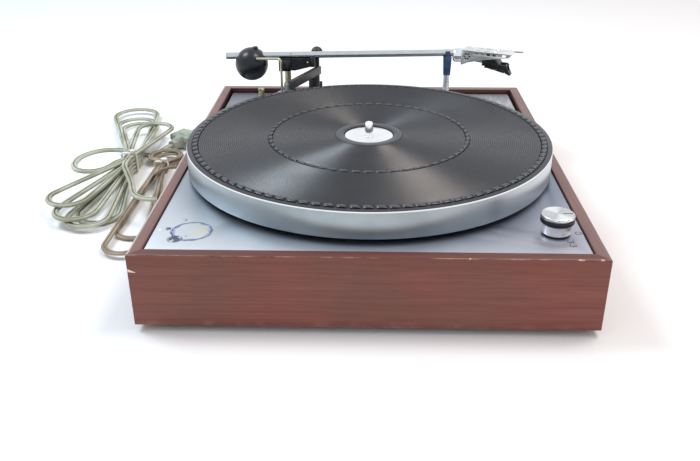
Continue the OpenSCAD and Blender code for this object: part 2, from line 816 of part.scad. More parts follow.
module spindle_shaft() {
    floor_z = base_top + 17 + pad_fit;
    shoulder = web_z - 5;
    hub_top = mat_z + hub_h;
    tip = mat_top + spindle_up;
    color("#d5d8da") translate([platter_x, 0, 0]) {
        translate([0, 0, floor_z]) cylinder(r = shaft_r, h = shoulder - floor_z);
        translate([0, 0, shoulder]) cylinder(r = seat_r, h = hub_top - shoulder);
        translate([0, 0, hub_top]) cylinder(r = spindle_r - 0.4, h = 1);
        translate([0, 0, hub_top + 0.4]) cylinder(r = spindle_r, h = tip - 1.9 - hub_top);
        translate([0, 0, tip - 1.5]) cylinder(r1 = spindle_r, r2 = spindle_r - 1.2, h = 1.5);
    }
}

module sub_platter() {
    wall = 4;
    boss_r = 13;
    shoulder = web_z - 5;
    color("#8e9294") translate([platter_x, 0, 0]) difference() {
        translate([0, 0, sub_z]) cylinder(r = sub_r, h = sub_h);
        translate([0, 0, sub_z - 1]) pipe(sub_r - wall, boss_r, sub_h - wall);
        translate([0, 0, sub_z - 1]) cylinder(r = shaft_r, h = shoulder - sub_z + 1);
        translate([0, 0, sub_z]) cylinder(r = seat_r, h = sub_h + 1);
    }
}

module platter() {
    edge = 0.8;
    color("#a9adb0") translate([platter_x, 0, 0]) rotate_extrude($fn = 180)
        polygon([[seat_r, web_z], [platter_r - rim_t, web_z], [platter_r - rim_t, rim_z],
            [platter_r, rim_z], [platter_r, rim_top - edge], [platter_r - edge, rim_top],
            [platter_r - rim_t, rim_top], [platter_r - rim_t, mat_z], [seat_r, mat_z]]);
}

module centre_hub() {
    color("#e2e4e6") translate([platter_x, 0, mat_z]) difference() {
        union() {
            cylinder(r = hub_r, h = hub_h - 0.5);
            translate([0, 0, hub_h - 0.5]) cylinder(r1 = hub_r, r2 = hub_r - 0.5, h = 0.5);
        }
        translate([0, 0, -1]) cylinder(r = seat_r, h = hub_h + 2);
    }
}

module platter_mat() {
    hole = hub_r + 0.4;
    smooth = hole + mat_ring;
    groove = 0.6;
    outer_band = 9;
    inner_band = [sub_r - 1, sub_r + 4];
    color("#3c3f44") translate([platter_x, 0, 0]) rotate_extrude($fn = 180)
        polygon([[hole, mat_z], [mat_core_r, mat_z], [mat_core_r, rim_top], [lip_r, rim_top],
            [lip_r, mat_top], [platter_r - outer_band, mat_top],
            [platter_r - outer_band, mat_top - groove], [inner_band[1], mat_top - groove],
            [inner_band[1], mat_top], [inner_band[0], mat_top],
            [inner_band[0], mat_top - groove], [smooth, mat_top - groove], [smooth, mat_top],
            [hole, mat_top]]);
}

// Pick-up arm

module arm_yoke() {
    cheek = yoke_out - yoke_in;
    cheek_top = tube_z - tube_r - 0.6;
    color("#1f2124") translate([arm_x, 0, 0]) difference() {
        union() {
            block([-yoke_out, yoke_y0, yoke_z], [yoke_out, yoke_y1, yoke_z + yoke_base_t]);
            for (s = [-1, 1])
                translate([s > 0 ? yoke_in : -yoke_out, yoke_y0, yoke_z])
                    cube([cheek, yoke_y1 - yoke_y0, cheek_top - yoke_z]);
        }
        translate([0, pivot_y, yoke_z - 1]) cylinder(r = pin_r + run_fit, h = yoke_base_t + 2);
        translate([0, pivot_y, axis_z]) rod_x(trunnion_r, -yoke_out - 1, yoke_out + 1);
    }
}

module pivot_screws() {
    color("#c9cccf") translate([arm_x, pivot_y, axis_z]) for (s = [0, 1]) mirror([s, 0, 0]) {
        rod_x(trunnion_r, 2, yoke_out);
        rod_x(trunnion_r + 1, yoke_out, yoke_out + 1.2);
    }
}

// The black carrier under the tube: a saddle between the yoke's cheeks, then a wedge
module arm_block() {
    half = yoke_in - 0.3;
    seat = -tube_r;
    nose = lift_y - pivot_y + 4.1;
    color("#1d1f22") at_arm() difference() {
        union() {
            rotate([arm_tilt, 0, 0]) rotate([90, 0, 90]) translate([0, 0, -half]) linear_extrude(2 * half)
                polygon([[5, seat], [5, -11.4], [-3.9, -11.4], [-3.9, yoke_z - tube_z],
                    [-8.5, yoke_z - tube_z], [nose, pad_z + 0.7 - tube_z], [nose, seat]]);
            translate([0, nose - 2.5, pad_z - tube_z + 1])
                block([-2.6, -2.7, -0.9], [2.6, 3, -seat - 1 + (tube_z - pad_z) + seat - tube_r]);
            translate([0, 0, -tube_r - 1]) block([-2, nose - 4, -1], [2, 5, 1.2]);
        }
        rotate([arm_tilt, 0, 0]) translate([0, 0, axis_z - tube_z])
            rod_x(trunnion_r + run_fit, -half - 1, half + 1);
        rod_y(tube_r, -60, 40);
    }
}

module arm_tube() {
    color("#c4c9cf") at_arm() rod_y(tube_r, shell_y + 4 - pivot_y, -4);
}

module rear_stub() {
    color("#d2cdbb") at_arm() rod_y(tube_r, -3.9, stub_len);
}

module shell_collar() {
    color("#dfe2e6") difference() {
        translate([arm_x, 0, shell_top - collar_drop]) rod_y(collar_r, shell_y - 5, shell_y + 11.8);
        at_arm() rod_y(tube_r, shell_y + 4 - pivot_y, -100);
        at_shell() block([-20, -20, -30], [20, 0.6, 20]);
    }
}

// The side wall of the headshell, low at the front, with a row of slots
module shell_skirt(thick, h_rear, h_front) {
    rotate([90, 0, -90]) translate([0, 0, -thick / 2]) linear_extrude(thick) difference() {
        polygon([[0, 0], [0, -h_rear], [shell_len * 0.13, -h_rear * 0.8],
            [shell_len * 0.42, -h_rear * 0.55], [shell_len - 3, -h_front], [shell_len, 0]]);
        for (u = [8, 14, 20, 26, 32, 42]) translate([u, -3.6]) square([3.6, 2.6]);
    }
}

module headshell() {
    top_t = 1.2;
    skin = 1;
    color("#d9dcde") at_shell() {
        translate([0, 0, -top_t]) linear_extrude(top_t) difference() {
            polygon([[-shell_w / 2, 0], [-shell_w / 2, -shell_len + 7], [-shell_w / 4, -shell_len],
                [shell_w / 4, -shell_len], [shell_w / 2, -shell_len + 7], [shell_w / 2, 0]]);
            for (s = [-1, 1], k = [0 : 2])
                translate([s * 5 - 1.2, -19 - k * 9]) square([2.4, 6]);
        }
        for (s = [-1, 1]) translate([s * (shell_w - skin) / 2, 0, 0]) shell_skirt(skin, shell_rear_h, 3.7);
        translate([-shell_w / 2, -1, -shell_rear_h]) cube([shell_w, 1.6, shell_rear_h]);
    }
}

module finger_lift() {
    color("#b9bdc0") at_shell() translate([shell_w / 2, -36, -2.4]) linear_extrude(1.2)
        polygon([[0, 0], [0, -6], [2, -22], [4.5, -22.5], [5, -20.5], [4.5, -2]]);
}

// A plate seen from the side of the headshell: first value forwards, second upwards
module side_plate(points, v0, v1) {
    rotate([90, 0, -90]) translate([0, 0, -v1]) linear_extrude(v1 - v0) polygon(points);
}

module cartridge() {
    color("#17181a") at_shell() difference() {
        union() {
            side_plate([[24, -1.2], [24, cart_z], [42, cart_z], [33.5, -5], [33.5, -1.2]], -7.5, 7.5);
            side_plate([[20.5, -9.2], [20.5, -15.2], [24, -15.2], [24, -9.2]], -5, 5);
            for (s = [-1, 1])
                side_plate([[38, -12], [38, cart_z], [guard_u + 1.2, cart_z], [guard_u + 2, guard_z],
                    [guard_u, -12]], s * 5.3 - 0.8, s * 5.3 + 0.8);
        }
        translate([0, -guard_u, guard_z]) rod_x(guard_pin_r + run_fit, -9, 9);
    }
}

module stylus() {
    color("#2a2b2e") at_shell() {
        side_plate([[24.5, cart_z], [44, cart_z], [44, cart_z - 4.4], [24.5, cart_z - 0.6]], -4.2, 4.2);
        side_plate([[43, -19.8], [47.2, -20.6], [47.2, -21.1], [43, -20.3]], -0.3, 0.3);
        translate([0, -46.7, -22.1]) cylinder(r1 = 0.15, r2 = 0.3, h = 1.4);
    }
}

module stylus_guard() {
    color("#101113") at_shell() {
        translate([0, -guard_u, guard_z]) rod_x(guard_pin_r, -6, 6);
        for (s = [-1, 1])
            side_plate([[guard_u - 0.8, guard_z + 1], [guard_u + 1.4, guard_z + 0.6],
                [guard_u + 2.6, guard_z - 3], [guard_u + 5.4, guard_z - 8.4],
                [guard_u + 5.2, guard_z - 9.2], [guard_u, guard_z - 7.2]],
                s * 3.6 - 0.6, s * 3.6 + 0.6);
        side_plate([[guard_u + 3.2, guard_z - 4.1], [guard_u + 5.4, guard_z - 8.4],
            [guard_u + 5.2, guard_z - 9.2], [guard_u + 3.6, guard_z - 8.7]], -4.2, 4.2);
    }
}

module counterweight() {
    color("#1b2126") at_arm() difference() {
        union() {
            translate([0, ball_back, -ball_drop]) sphere(r = ball_r);
            translate([0, ball_back - 4.6, -ball_drop + ball_r - 2]) cylinder(r = 2.6, h = 3.4);
        }
        rod_y(tube_r + run_fit, ball_back - ball_r - 1, ball_back + ball_r + 1);
    }
}

module lift_lever() {
    color("#202326") translate([lever_x, lever_y, lever_z]) {
        difference() {
            union() {
                rod_x(4.2, -2.4, 2.4);
                cylinder(r = 2.4, h = 32);
            }
            rod_x(1.5 + run_fit, -4, 4);
        }
        translate([0, 0, 30]) difference() {
            translate([0, 0, 6]) sphere(r = 6.2);
            translate([0, 0, -4.2]) cylinder(r = 8, h = 6);
        }
    }
}

module lift_bar() {
    sleeve_z = arm_top + 10.5;
    bar_z = arm_top + 25.5;
    from = [arm_x + 5, lift_y - 5.4];
    to = [arm_x - 53, lift_y + 19.9];
    d = to - from;
    color("#33302e") {
        translate([arm_x, lift_y, sleeve_z]) difference() {
            cylinder(r = lift_r + 1.35, h = bar_z - sleeve_z);
            translate([0, 0, -1]) cylinder(r = lift_r + run_fit, h = bar_z - sleeve_z - 1);
        }
        translate([from[0], from[1], bar_z]) rotate([0, 0, atan2(d[1], d[0])])
            translate([0, -2.25, 0]) cube([norm(d), 4.5, pad_z - touch - bar_z]);
    }
}

// Cords

module behind() {
    translate([0, hy, 0]) children();
}

module gland(x, len_out, r_tip) {
    translate([x, 0, gland_z]) {
        rod_y(gland_r, iy - 3, hy + 2);
        rod_y(gland_r + 2, iy - 4, iy);
        rod_y(gland_r + 2, hy, hy + 2);
        translate([0, hy + 2, 0]) rotate([-90, 0, 0])
            cylinder(r1 = gland_r, r2 = r_tip, h = len_out - 2);
    }
}

module mains_gland() {
    color("#3c4038") gland(mains_x, gland_out, 3.6);
}

module signal_gland() {
    color("#3c4038") gland(signal_x, gland_out, 3.2);
}

module mains_cord() {
    color("#8f947c") behind() {
        strand(mains_lead_path, mains_w, mains_t, 8);
        strand(mains_tail_path, mains_w, mains_t, 8);
    }
}

module mains_hank() {
    color("#8f947c") behind() strand(mains_path, mains_w, mains_t, 6);
}

module signal_cord() {
    color("#9a8c74") behind() {
        strand(signal_lead_path, signal_w, signal_t, 8);
        strand(signal_tail_path, signal_w, signal_t, 8);
    }
}

module signal_hank() {
    color("#9a8c74") behind() strand(signal_path, signal_w, signal_t, 6);
}

module mains_plug() {
    color("#8d9684") behind() translate(plug_at) rotate([0, 0, plug_turn]) {
        rotate([0, 90, 0]) cylinder(r1 = 4.4, r2 = 7, h = 12);
        translate([12, -13, -7]) cube([23, 26, 14]);
        for (s = [-1, 1]) translate([35, s * 9.5, 0]) rod_x(2, 0, 19);
    }
}

module phono_plugs() {
    color("#35302a") behind() translate(phono_at) rotate([0, 0, 180]) {
        translate([0, -4, -2.5]) cube([9, 8, 5]);
        for (s = [-1, 1]) translate([9, s * 4.6, 0]) {
            translate([-1, -s * 2 - 1.5, -1.5]) cube([2, 3, 3]);
            rod_x(2, 0, 7);
            rod_x(4, 7, 21);
            rod_x(1.6, 21, 29);
        }
    }
}

// A strap round the waist of a hank, with its lock on one side
module tie(waist, half, w, t, loops, floor_z, step) {
    band = 1.2;
    wide = 3;
    slack = 0.6;
    x = half + w / 2 + slack;
    z0 = floor_z + step / 2 - t / 2 - slack;
    z1 = floor_z + step * loops + step / 2 + t / 2 + slack;
    translate([waist[0] - wide / 2, waist[1], 0]) {
        difference() {
            block([0, -x - band, z0 - band], [wide, x + band, z1 + band]);
            block([-1, -x, z0], [wide + 1, x, z1]);
        }
        block([-1, -x, z1 + band], [wide + 1, -x + 5, z1 + band + 3]);
    }
}

module cord_ties() {
    color("#e4e2d6") behind() {
        tie(mains_waist, mains_half, mains_w, mains_t, len(mains_loops), loop_floor_mains, mains_step);
        tie(signal_waist, signal_half, signal_w, signal_t, len(signal_loops), loop_floor_signal,
            signal_step);
    }
}

union() {
    echo(mains_hank_gap = least_gap(mains_path, mains_w, mains_t));
    echo(signal_hank_gap = least_gap(signal_path, signal_w, signal_t));
    echo(spring_gap = (spring_top - spring_z - 2 * wire_r) / spring_turns - 2 * wire_r);
    echo(mains_length = route_len(mains_lead_path) + route_len(mains_path) + route_len(mains_tail_path));
    echo(signal_length = route_len(signal_lead_path) + route_len(signal_path)
        + route_len(signal_tail_path));
}

side_board_left();
side_board_right();
front_board();
rear_board();
frame_blocks();
base_panel();
plinth_screws();
feet();
top_plate();
motor();
drive_belt();
plate_bushes();
hanger_bolts();
hanger_springs();
power_switch();
motor_pulley();
knob_skirt();
knob_band();
knob_cap();
belt_fork();
subchassis();
bearing_housing();
armboard();
armboard_skin();
arm_base();
arm_pillar();
bias_rod();
brass_post();
rest_post();
rest_cradle();
rest_clip();
lift_cylinder();
spindle_shaft();
sub_platter();
platter();
centre_hub();
platter_mat();
arm_yoke();
pivot_screws();
arm_block();
arm_tube();
rear_stub();
shell_collar();
headshell();
finger_lift();
cartridge();
stylus();
stylus_guard();
counterweight();
lift_lever();
lift_bar();
mains_gland();
mains_cord();
mains_hank();
mains_plug();
signal_gland();
signal_cord();
signal_hank();
phono_plugs();
cord_ties();
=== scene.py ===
"""A belt-driven turntable with a sprung sub-chassis and a straight pick-up arm.

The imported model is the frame: +X is the deck's right and leads away from the camera, +Y is its
back and lies left in the picture, +Z is up, and the origin is on the table under the plinth.
Sizes are in millimetres, and MM turns them into metres. Places in paints are in metres.
"""
import json
import math

import bmesh
import bpy
from mathutils import Matrix, Vector


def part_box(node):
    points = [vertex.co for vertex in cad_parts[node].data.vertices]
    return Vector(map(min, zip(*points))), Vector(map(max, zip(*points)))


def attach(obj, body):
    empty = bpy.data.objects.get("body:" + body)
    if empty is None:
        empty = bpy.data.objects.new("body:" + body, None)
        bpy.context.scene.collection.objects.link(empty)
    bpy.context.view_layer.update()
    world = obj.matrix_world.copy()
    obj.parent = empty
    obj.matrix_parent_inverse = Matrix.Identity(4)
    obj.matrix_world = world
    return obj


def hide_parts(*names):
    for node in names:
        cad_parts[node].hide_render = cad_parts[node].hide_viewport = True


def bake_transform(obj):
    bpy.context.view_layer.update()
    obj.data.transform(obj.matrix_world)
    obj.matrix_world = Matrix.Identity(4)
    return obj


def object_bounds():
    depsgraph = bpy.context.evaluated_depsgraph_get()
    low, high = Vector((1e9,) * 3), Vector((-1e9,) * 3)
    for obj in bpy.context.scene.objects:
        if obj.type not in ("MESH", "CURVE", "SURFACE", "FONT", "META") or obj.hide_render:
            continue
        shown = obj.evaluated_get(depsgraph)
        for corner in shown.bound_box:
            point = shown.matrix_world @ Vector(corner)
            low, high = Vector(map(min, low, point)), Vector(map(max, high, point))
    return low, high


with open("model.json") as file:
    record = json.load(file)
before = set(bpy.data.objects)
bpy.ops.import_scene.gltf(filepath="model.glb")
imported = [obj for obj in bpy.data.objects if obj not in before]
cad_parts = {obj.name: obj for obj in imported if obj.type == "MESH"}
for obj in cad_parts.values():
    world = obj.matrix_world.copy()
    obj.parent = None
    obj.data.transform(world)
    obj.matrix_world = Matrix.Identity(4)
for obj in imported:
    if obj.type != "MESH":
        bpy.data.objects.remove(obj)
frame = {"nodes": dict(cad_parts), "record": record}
cad_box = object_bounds()
MM = 0.001


# The room: a white table under a pale sky and two soft lamps, one on each side of the deck.
# They draw the two bright fans on the mat, and the left one is cooler than the right one.
# The camera stands to the left of the deck and a little above it.
CAMERA_AT = (-652.15, -1.97, 310.01)
CAMERA_DOWN = math.radians(26.722)
CAMERA_LEFT = math.radians(1.636)
CAMERA_ROLL = math.radians(0.146)
LENS = 40.857
LAMPS = {"left_lamp": ((190, 900, 1300), 11, (0.8, 0.91, 1.0)),
         "right_lamp": ((20, -620, 1450), 9, (1.0, 0.89, 0.81))}
LAMP_SIZE = 520
SKY = (0.93, 0.96, 1.0)
SKY_LEVEL = 0.72


class Wire:
    """One output of a shader node. Arithmetic on it adds Math nodes, and add() any other node."""

    def __init__(self, tree, socket=None):
        self.tree, self.socket = tree, socket

    def add(self, kind, settings=None, values=None, out=0):
        node = self.tree.nodes.new("ShaderNode" + kind)
        for name, value in (settings or {}).items():
            setattr(node, name, value)
        for name, value in (values or {}).items():
            into = node.inputs[name] if isinstance(name, int) else next(
                s for s in node.inputs if s.name == name and s.enabled)
            if isinstance(value, Wire):
                self.tree.links.new(value.socket, into)
            elif isinstance(value, tuple) and len(into.default_value) == 4:
                into.default_value = (*value, 1)
            else:
                into.default_value = value
        if isinstance(out, str):
            return Wire(self.tree, node.outputs[out])
        outputs = [s for s in node.outputs if s.enabled]
        return Wire(self.tree, outputs[out]) if outputs else None

    def math(self, operation, *others):
        return self.add("Math", {"operation": operation}, dict(enumerate((self, *others))))

    def __add__(self, other):
        return self.math("ADD", other)

    def __sub__(self, other):
        return self.math("SUBTRACT", other)

    def __rsub__(self, other):
        return self.add("Math", {"operation": "SUBTRACT"}, {0: other, 1: self})

    def __mul__(self, other):
        return self.math("MULTIPLY", other)

    def __truediv__(self, other):
        return self.math("DIVIDE", other)

    def __gt__(self, other):
        return self.math("GREATER_THAN", other)

    def __lt__(self, other):
        return self.math("LESS_THAN", other)

    __radd__, __rmul__ = __add__, __mul__

    def step(self, low, high):
        """A mask that is 0 up to low and 1 from high on."""
        return self.add("MapRange", {"interpolation_type": "SMOOTHSTEP"},
                        {"Value": self, "From Min": low, "From Max": high})

    def tint(self, below, above):
        """The colour below, going over to the one above as this mask goes to 1."""
        return self.add("Mix", {"data_type": "RGBA"}, {"Factor": self, "A": below, "B": above})

    def along(self, axis):
        """One coordinate of this place."""
        return self.add("SeparateXYZ", {}, {0: self}, axis)

    def noise(self, size, detail=3, roughness=0.5, stretch=(1, 1, 1)):
        """Noise at this place, with grains of this size in millimetres, longer where stretched."""
        grain = tuple(1 / (size * MM * s) for s in stretch)
        place = self.add("VectorMath", {"operation": "MULTIPLY"}, {0: self, 1: grain})
        return self.add("TexNoise", {}, {"Vector": place, "Scale": 1.0, "Detail": float(detail),
                                         "Roughness": roughness}, "Fac")


def tone(code):
    """A colour of the six-digit web kind as the light that it stands for."""
    return tuple((int(code[i:i + 2], 16) / 255) ** 2.2 for i in (0, 2, 4))


def coats(first, *layers):
    """A colour with further ones laid over it, each of which shows where its mask goes to 1."""
    colour = tone(first)
    for mask, code in layers:
        colour = mask.tint(colour, tone(code) if isinstance(code, str) else code)
    return colour


def material(name, paint):
    """A material. paint gets the place of a point and returns values for the shader's sockets,
    where Height, in millimetres, stands for a bump."""
    made = bpy.data.materials.new(name)
    made.use_nodes = True
    made.node_tree.nodes.clear()
    values = paint(Wire(made.node_tree).add("TexCoord", out="Object"))
    start = Wire(made.node_tree)
    if "Height" in values:
        values["Normal"] = start.add("Bump", {}, {"Height": values.pop("Height"), "Distance": MM},
                                     "Normal")
    shader = start.add("BsdfPrincipled", {}, values)
    start.add("OutputMaterial", {}, {"Surface": shader})
    return made


def table_paint(place):
    # Painted light: the table goes from warm at -Y to cool at +Y, the tints of the right and left
    # lamps.
    side = place.along(1).step(-0.9, 0.9)
    return {"Base Color": side.tint((0.965, 0.925, 0.905), (0.915, 0.955, 0.985)),
            "Roughness": 0.9, "Specular IOR Level": 0.0}


forward = Vector((math.cos(CAMERA_DOWN) * math.cos(CAMERA_LEFT),
                  math.cos(CAMERA_DOWN) * math.sin(CAMERA_LEFT), -math.sin(CAMERA_DOWN)))
level = forward.cross(Vector((0, 0, 1))).normalized()
turn = Matrix.Rotation(CAMERA_ROLL, 3, forward)
right, down = turn @ level, turn @ forward.cross(level)
lens = bpy.data.cameras.new("camera")
lens.sensor_width, lens.lens, lens.clip_start = 36, LENS, 0.01
camera = bpy.data.objects.new("camera", lens)
camera.matrix_world = (Matrix.Translation(Vector(CAMERA_AT) * MM)
                       @ Matrix((right, -down, -forward)).transposed().to_4x4())
scene = bpy.context.scene
scene.collection.objects.link(camera)
scene.camera = camera
scene.view_settings.view_transform = "Standard"

scene.world = bpy.data.worlds.new("sky")
scene.world.use_nodes = True
sky = Wire(scene.world.node_tree)
scene.world.node_tree.nodes.clear()
ray = [sky.add("LightPath", {}, {}, name) for name in
       ("Is Camera Ray", "Is Glossy Ray", "Is Transmission Ray")]
seen = (ray[0] + ray[1] + ray[2]) > 0.5
glow = sky.add("Background", {}, {"Color": SKY, "Strength": seen * (1 - SKY_LEVEL) + SKY_LEVEL})
sky.add("OutputWorld", {}, {"Surface": glow})

for name, (spot, power, colour) in LAMPS.items():
    light = bpy.data.lights.new(name, "AREA")
    light.size, light.energy, light.color = LAMP_SIZE * MM, power, colour
    lamp = bpy.data.objects.new(name, light)
    lamp.location = Vector(spot) * MM
    lamp.rotation_euler = (-Vector(spot)).to_track_quat("-Z", "Y").to_euler()
    scene.collection.objects.link(lamp)

table = bpy.data.meshes.new("table")
table.from_pydata([(x, y, 0) for x, y in ((-4, -4), (4, -4), (4, 4), (-4, 4))], [], [(0, 1, 2, 3)])
table.materials.append(material("white_table", table_paint))
floor = bpy.data.objects.new("table", table)
scene.collection.objects.link(floor)


# The mains flex and the signal lead: flat twin flexes, each moulded round two cores with a
# groove between them. Each leaves the rear board through a strain relief, is folded into a hank
# that a tie holds at its waist, and ends in its plug. Y counts from the rear board's face.
MAINS_LEAD = [(-30, 22, 25), (-30, 29, 25), (-25, 39, 24), (-13, 48, 22), (2, 54, 20), (17, 59, 19),
              (31, 65, 19), (44, 71, 20), (54, 75.6, 20.7), (64, 77.6, 20.7), (71, 77.6, 20.7)]
MAINS_TAIL = [(105, 77.6, 1.7), (111, 77.6, 1.7), (118, 80, 1.7), (122, 87, 1.7), (121, 96, 1.7),
              (114, 103, 1.7), (103, 107, 1.7), (93, 113, 1.7), (88, 124, 1.7), (91, 136, 1.7),
              (101, 144, 1.7), (115, 147, 1.7), (129, 145, 1.7), (141, 137, 1.7), (148, 125, 1.7),
              (149, 111, 1.7), (145, 98, 1.7), (139, 87, 1.7), (135, 77.5, 1.7),
              (134.2, 70, 2.2), (136.5, 62.2, 5.2), (141.8, 56, 8), (147, 53, 8)]
SIGNAL_LEAD = [(44, 22, 25), (44, 28, 25), (45, 36, 22), (49, 43, 17), (56, 46.9, 12.5),
               (64, 46.9, 11.1), (73, 46.9, 11.1)]
SIGNAL_TAIL = [(107, 46.9, 1.5), (113, 46.9, 1.5), (121, 44, 1.5), (127, 38, 1.5), (130, 30, 1.5),
               (129, 21, 2.5), (124, 15, 4), (116, 12, 4.5), (109, 12, 4.5)]
# Each loop of a hank: reach, direction and radius of its far end, then of its near end
MAINS_LOOPS = [(86, -3, 18, 96, -18, 18), (98, 9, 18, 112, -9, 18), (124, 12, 20, 116, -3, 18),
               (168, 13, 24, 102, 0, 18)]
SIGNAL_LOOPS = [(27, 4, 15.6, 166, 3, 16), (25, -3, 15.6, 134, 4, 16)]
# Each hank: middle and half width of its waist, lowest strand, and the step up to the next
MAINS_WAIST = ((88, 81), 3.4, 1.7, 3.8)
SIGNAL_WAIST = ((90, 50), 3.1, 1.5, 3.2)
MAINS_SIZE, SIGNAL_SIZE = (5.8, 3.2), (5.2, 2.6)
MAINS_FALL, SIGNAL_FALL = 0.028, 0.018
WAIST_RUN, WAIST_END = 11, 17
CORE_POINTS = 11

record = frame["record"]
home = {node: body for body, nodes in record["behaviour"]["bodies"].items() for node in nodes}
rear_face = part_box("rear_board")[1].y / MM


def piece(name, finish, shape, on=None, crease=35, bend=None, at=Matrix()):
    """An object of a shape in millimetres, placed by a matrix. It stands for the CAD node of its
    name, or is one more piece on another node. It moves with that node's body, or, where bend is
    given, stays where it is; bend's values are not used."""
    node = on or name
    mesh = bpy.data.meshes.new(name)
    shape.transform(at)
    shape.transform(Matrix.Scale(MM, 4))
    shape.to_mesh(mesh)
    shape.free()
    mesh.materials.append(finish)
    mesh.shade_smooth()
    mesh.set_sharp_from_angle(angle=math.radians(crease))
    made = bpy.data.objects.new(name, mesh)
    scene.collection.objects.link(made)
    if bend:
        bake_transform(made)
    else:
        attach(made, home[node])
    if not on:
        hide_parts(node)
    return made


def rings_to_shape(rings, closed=False):
    """Skins rings of equally many points, and caps the first and last or joins them up."""
    shape = bmesh.new()
    rows = [[shape.verts.new(point) for point in ring] for ring in rings]
    pairs = list(zip(rows, rows[1:])) + ([(rows[-1], rows[0])] if closed else [])
    for below, above in pairs:
        for i in range(len(below)):
            j = (i + 1) % len(below)
            shape.faces.new((below[i], below[j], above[j], above[i]))
    if not closed:
        shape.faces.new(rows[0][::-1])
        shape.faces.new(rows[-1])
    bmesh.ops.recalc_face_normals(shape, faces=shape.faces)
    return shape


def smooth_route(points, spacing=2.4):
    """Points close together on a smooth curve through the given ones."""
    points = [Vector(p) for p in points]
    ahead = [(points[min(i + 1, len(points) - 1)] - points[max(i - 1, 0)]).normalized()
             for i in range(len(points))]
    route = []
    for a, b, leaving, arriving in zip(points, points[1:], ahead, ahead[1:]):
        run = (b - a).length
        steps = max(1, round(run / spacing))
        for t in (k / steps for k in range(steps)):
            route.append(a * (1 + 2 * t) * (1 - t) ** 2 + b * t * t * (3 - 2 * t)
                         + run * t * (1 - t) * (leaving * (1 - t) - arriving * t))
    return route + [points[-1]]


def swept(route, section, level=True):
    """A section drawn along a route: points across and up, or a function that gives them."""
    rings, side = [], Vector((1, 0, 0))
    for i, at in enumerate(route):
        ahead = (route[min(i + 1, len(route) - 1)] - route[max(i - 1, 0)]).normalized()
        side = Vector((0, 0, 1)).cross(ahead) if level else side - side.dot(ahead) * ahead
        side.normalize()
        up = ahead.cross(side)
        outline = section(i) if callable(section) else section
        rings.append([at + side * x + up * y for x, y in outline])
    return rings_to_shape(rings)


def arc(x, y, radii, start, step, count):
    """Points round a middle, from a bearing on, one each step of so many degrees."""
    return [(x + radii[0] * math.cos(a), y + radii[1] * math.sin(a))
            for a in (math.radians(start + k * step) for k in range(count))]


def circle(radius, sides=16, at=(0, 0)):
    """Points of a circle round a middle."""
    return arc(*at, (radius, radius), 0, 360 / sides, sides)


def loop_end(reach, heading, radius, half):
    """The far end of a loop: an arc to which both strands run from the waist."""
    lean, way = math.degrees(math.asin((radius - half) / reach)), math.radians(heading)
    return arc(reach * math.cos(way), reach * math.sin(way), (radius, radius),
               heading - 90 - lean, (180 + 2 * lean) / 8, 9)


def hank(loops, fall, waist, half, floor_z, step):
    """The folded part of a flex, from where it comes in on top to where it leaves below."""
    route = [(x, -half, floor_z + step * (len(loops) + 1)) for x in (-WAIST_END, -WAIST_RUN)]
    for i, loop in enumerate(loops):
        z = floor_z + step * (len(loops) - i)
        near = [(-x, -y) for x, y in loop_end(*loop[3:], half)]
        turns = [(WAIST_RUN, -half), *loop_end(*loop[:3], half), (WAIST_RUN, half), (0, half),
                 (-WAIST_RUN, half), *near, (-WAIST_RUN, -half)]
        route += [(0, -half, z + step / 2)]
        route += [(x, y, z - max(0, -x - WAIST_RUN) * fall) for x, y in turns]
    route += [(0, -half, floor_z + step / 2), (WAIST_RUN, -half, floor_z),
              (WAIST_END, -half, floor_z)]
    return [(waist[0] + x, waist[1] + y, z) for x, y, z in route]


def twin_section(width, thick):
    """The outline of two cores side by side."""
    core, apart = thick / 2, (width - thick) / 2
    open_to = math.pi - math.acos(min(apart / core, 0.93))
    lobe = [-open_to + 2 * open_to * k / (CORE_POINTS - 1) for k in range(CORE_POINTS)]
    half = [(apart + core * math.cos(a), core * math.sin(a)) for a in lobe]
    return half + [(-x, -y) for x, y in half]


def fill_groove(flex):
    """Gives both flanks of the groove on either side of a flex a darker paint, painted shade in the
    crease.
    """
    flex.data.materials.append(groove_painted_shade)
    flanks = (CORE_POINTS - 2, CORE_POINTS, 2 * CORE_POINTS - 2, 0)
    for face in flex.data.polygons[:-2]:
        if face.index % (2 * CORE_POINTS) in flanks:
            face.material_index = 1


def route_length(route):
    return sum((b - a).length for a, b in zip(route, route[1:]))


def flex_paint(light, dark):
    def paint(place):
        soil = place.noise(26, 4).step(0.35, 0.7)
        specks = place.noise(1.6, 2).step(0.62, 0.75)
        return {"Base Color": coats(light, (soil, dark), (specks * 0.35, "6b6654")),
                "Roughness": 0.42 + soil * 0.2, "Height": place.noise(0.9) * 0.05}
    return paint


def lay_flex(kind, lead, folds, tail, width, thick, tones):
    """A flex along its lead, hank and tail."""
    points = [(x, rear_face + y, z) for x, y, z in lead[:-1] + folds + tail[1:]]
    far_x, far_y = (cad_box[1][k] / MM - width / 2 for k in (0, 1))
    route = [Vector((min(p.x, far_x), min(p.y, far_y), p.z)) for p in smooth_route(points)]
    name, nodes = f"{kind}_flex", (f"{kind}_cord", f"{kind}_hank")
    flex = piece(name, material(name, flex_paint(*tones)), swept(route, twin_section(width, thick)),
                 nodes[0], crease=60)
    fill_groove(flex)
    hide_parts(*nodes)
    return flex, Vector(points[0]), route, width


def declare_flex(laid, *pieces):
    flex, start, route, width = laid
    start * MM
    route_length(route) * MM
    width * MM
    [p * MM for p in route]


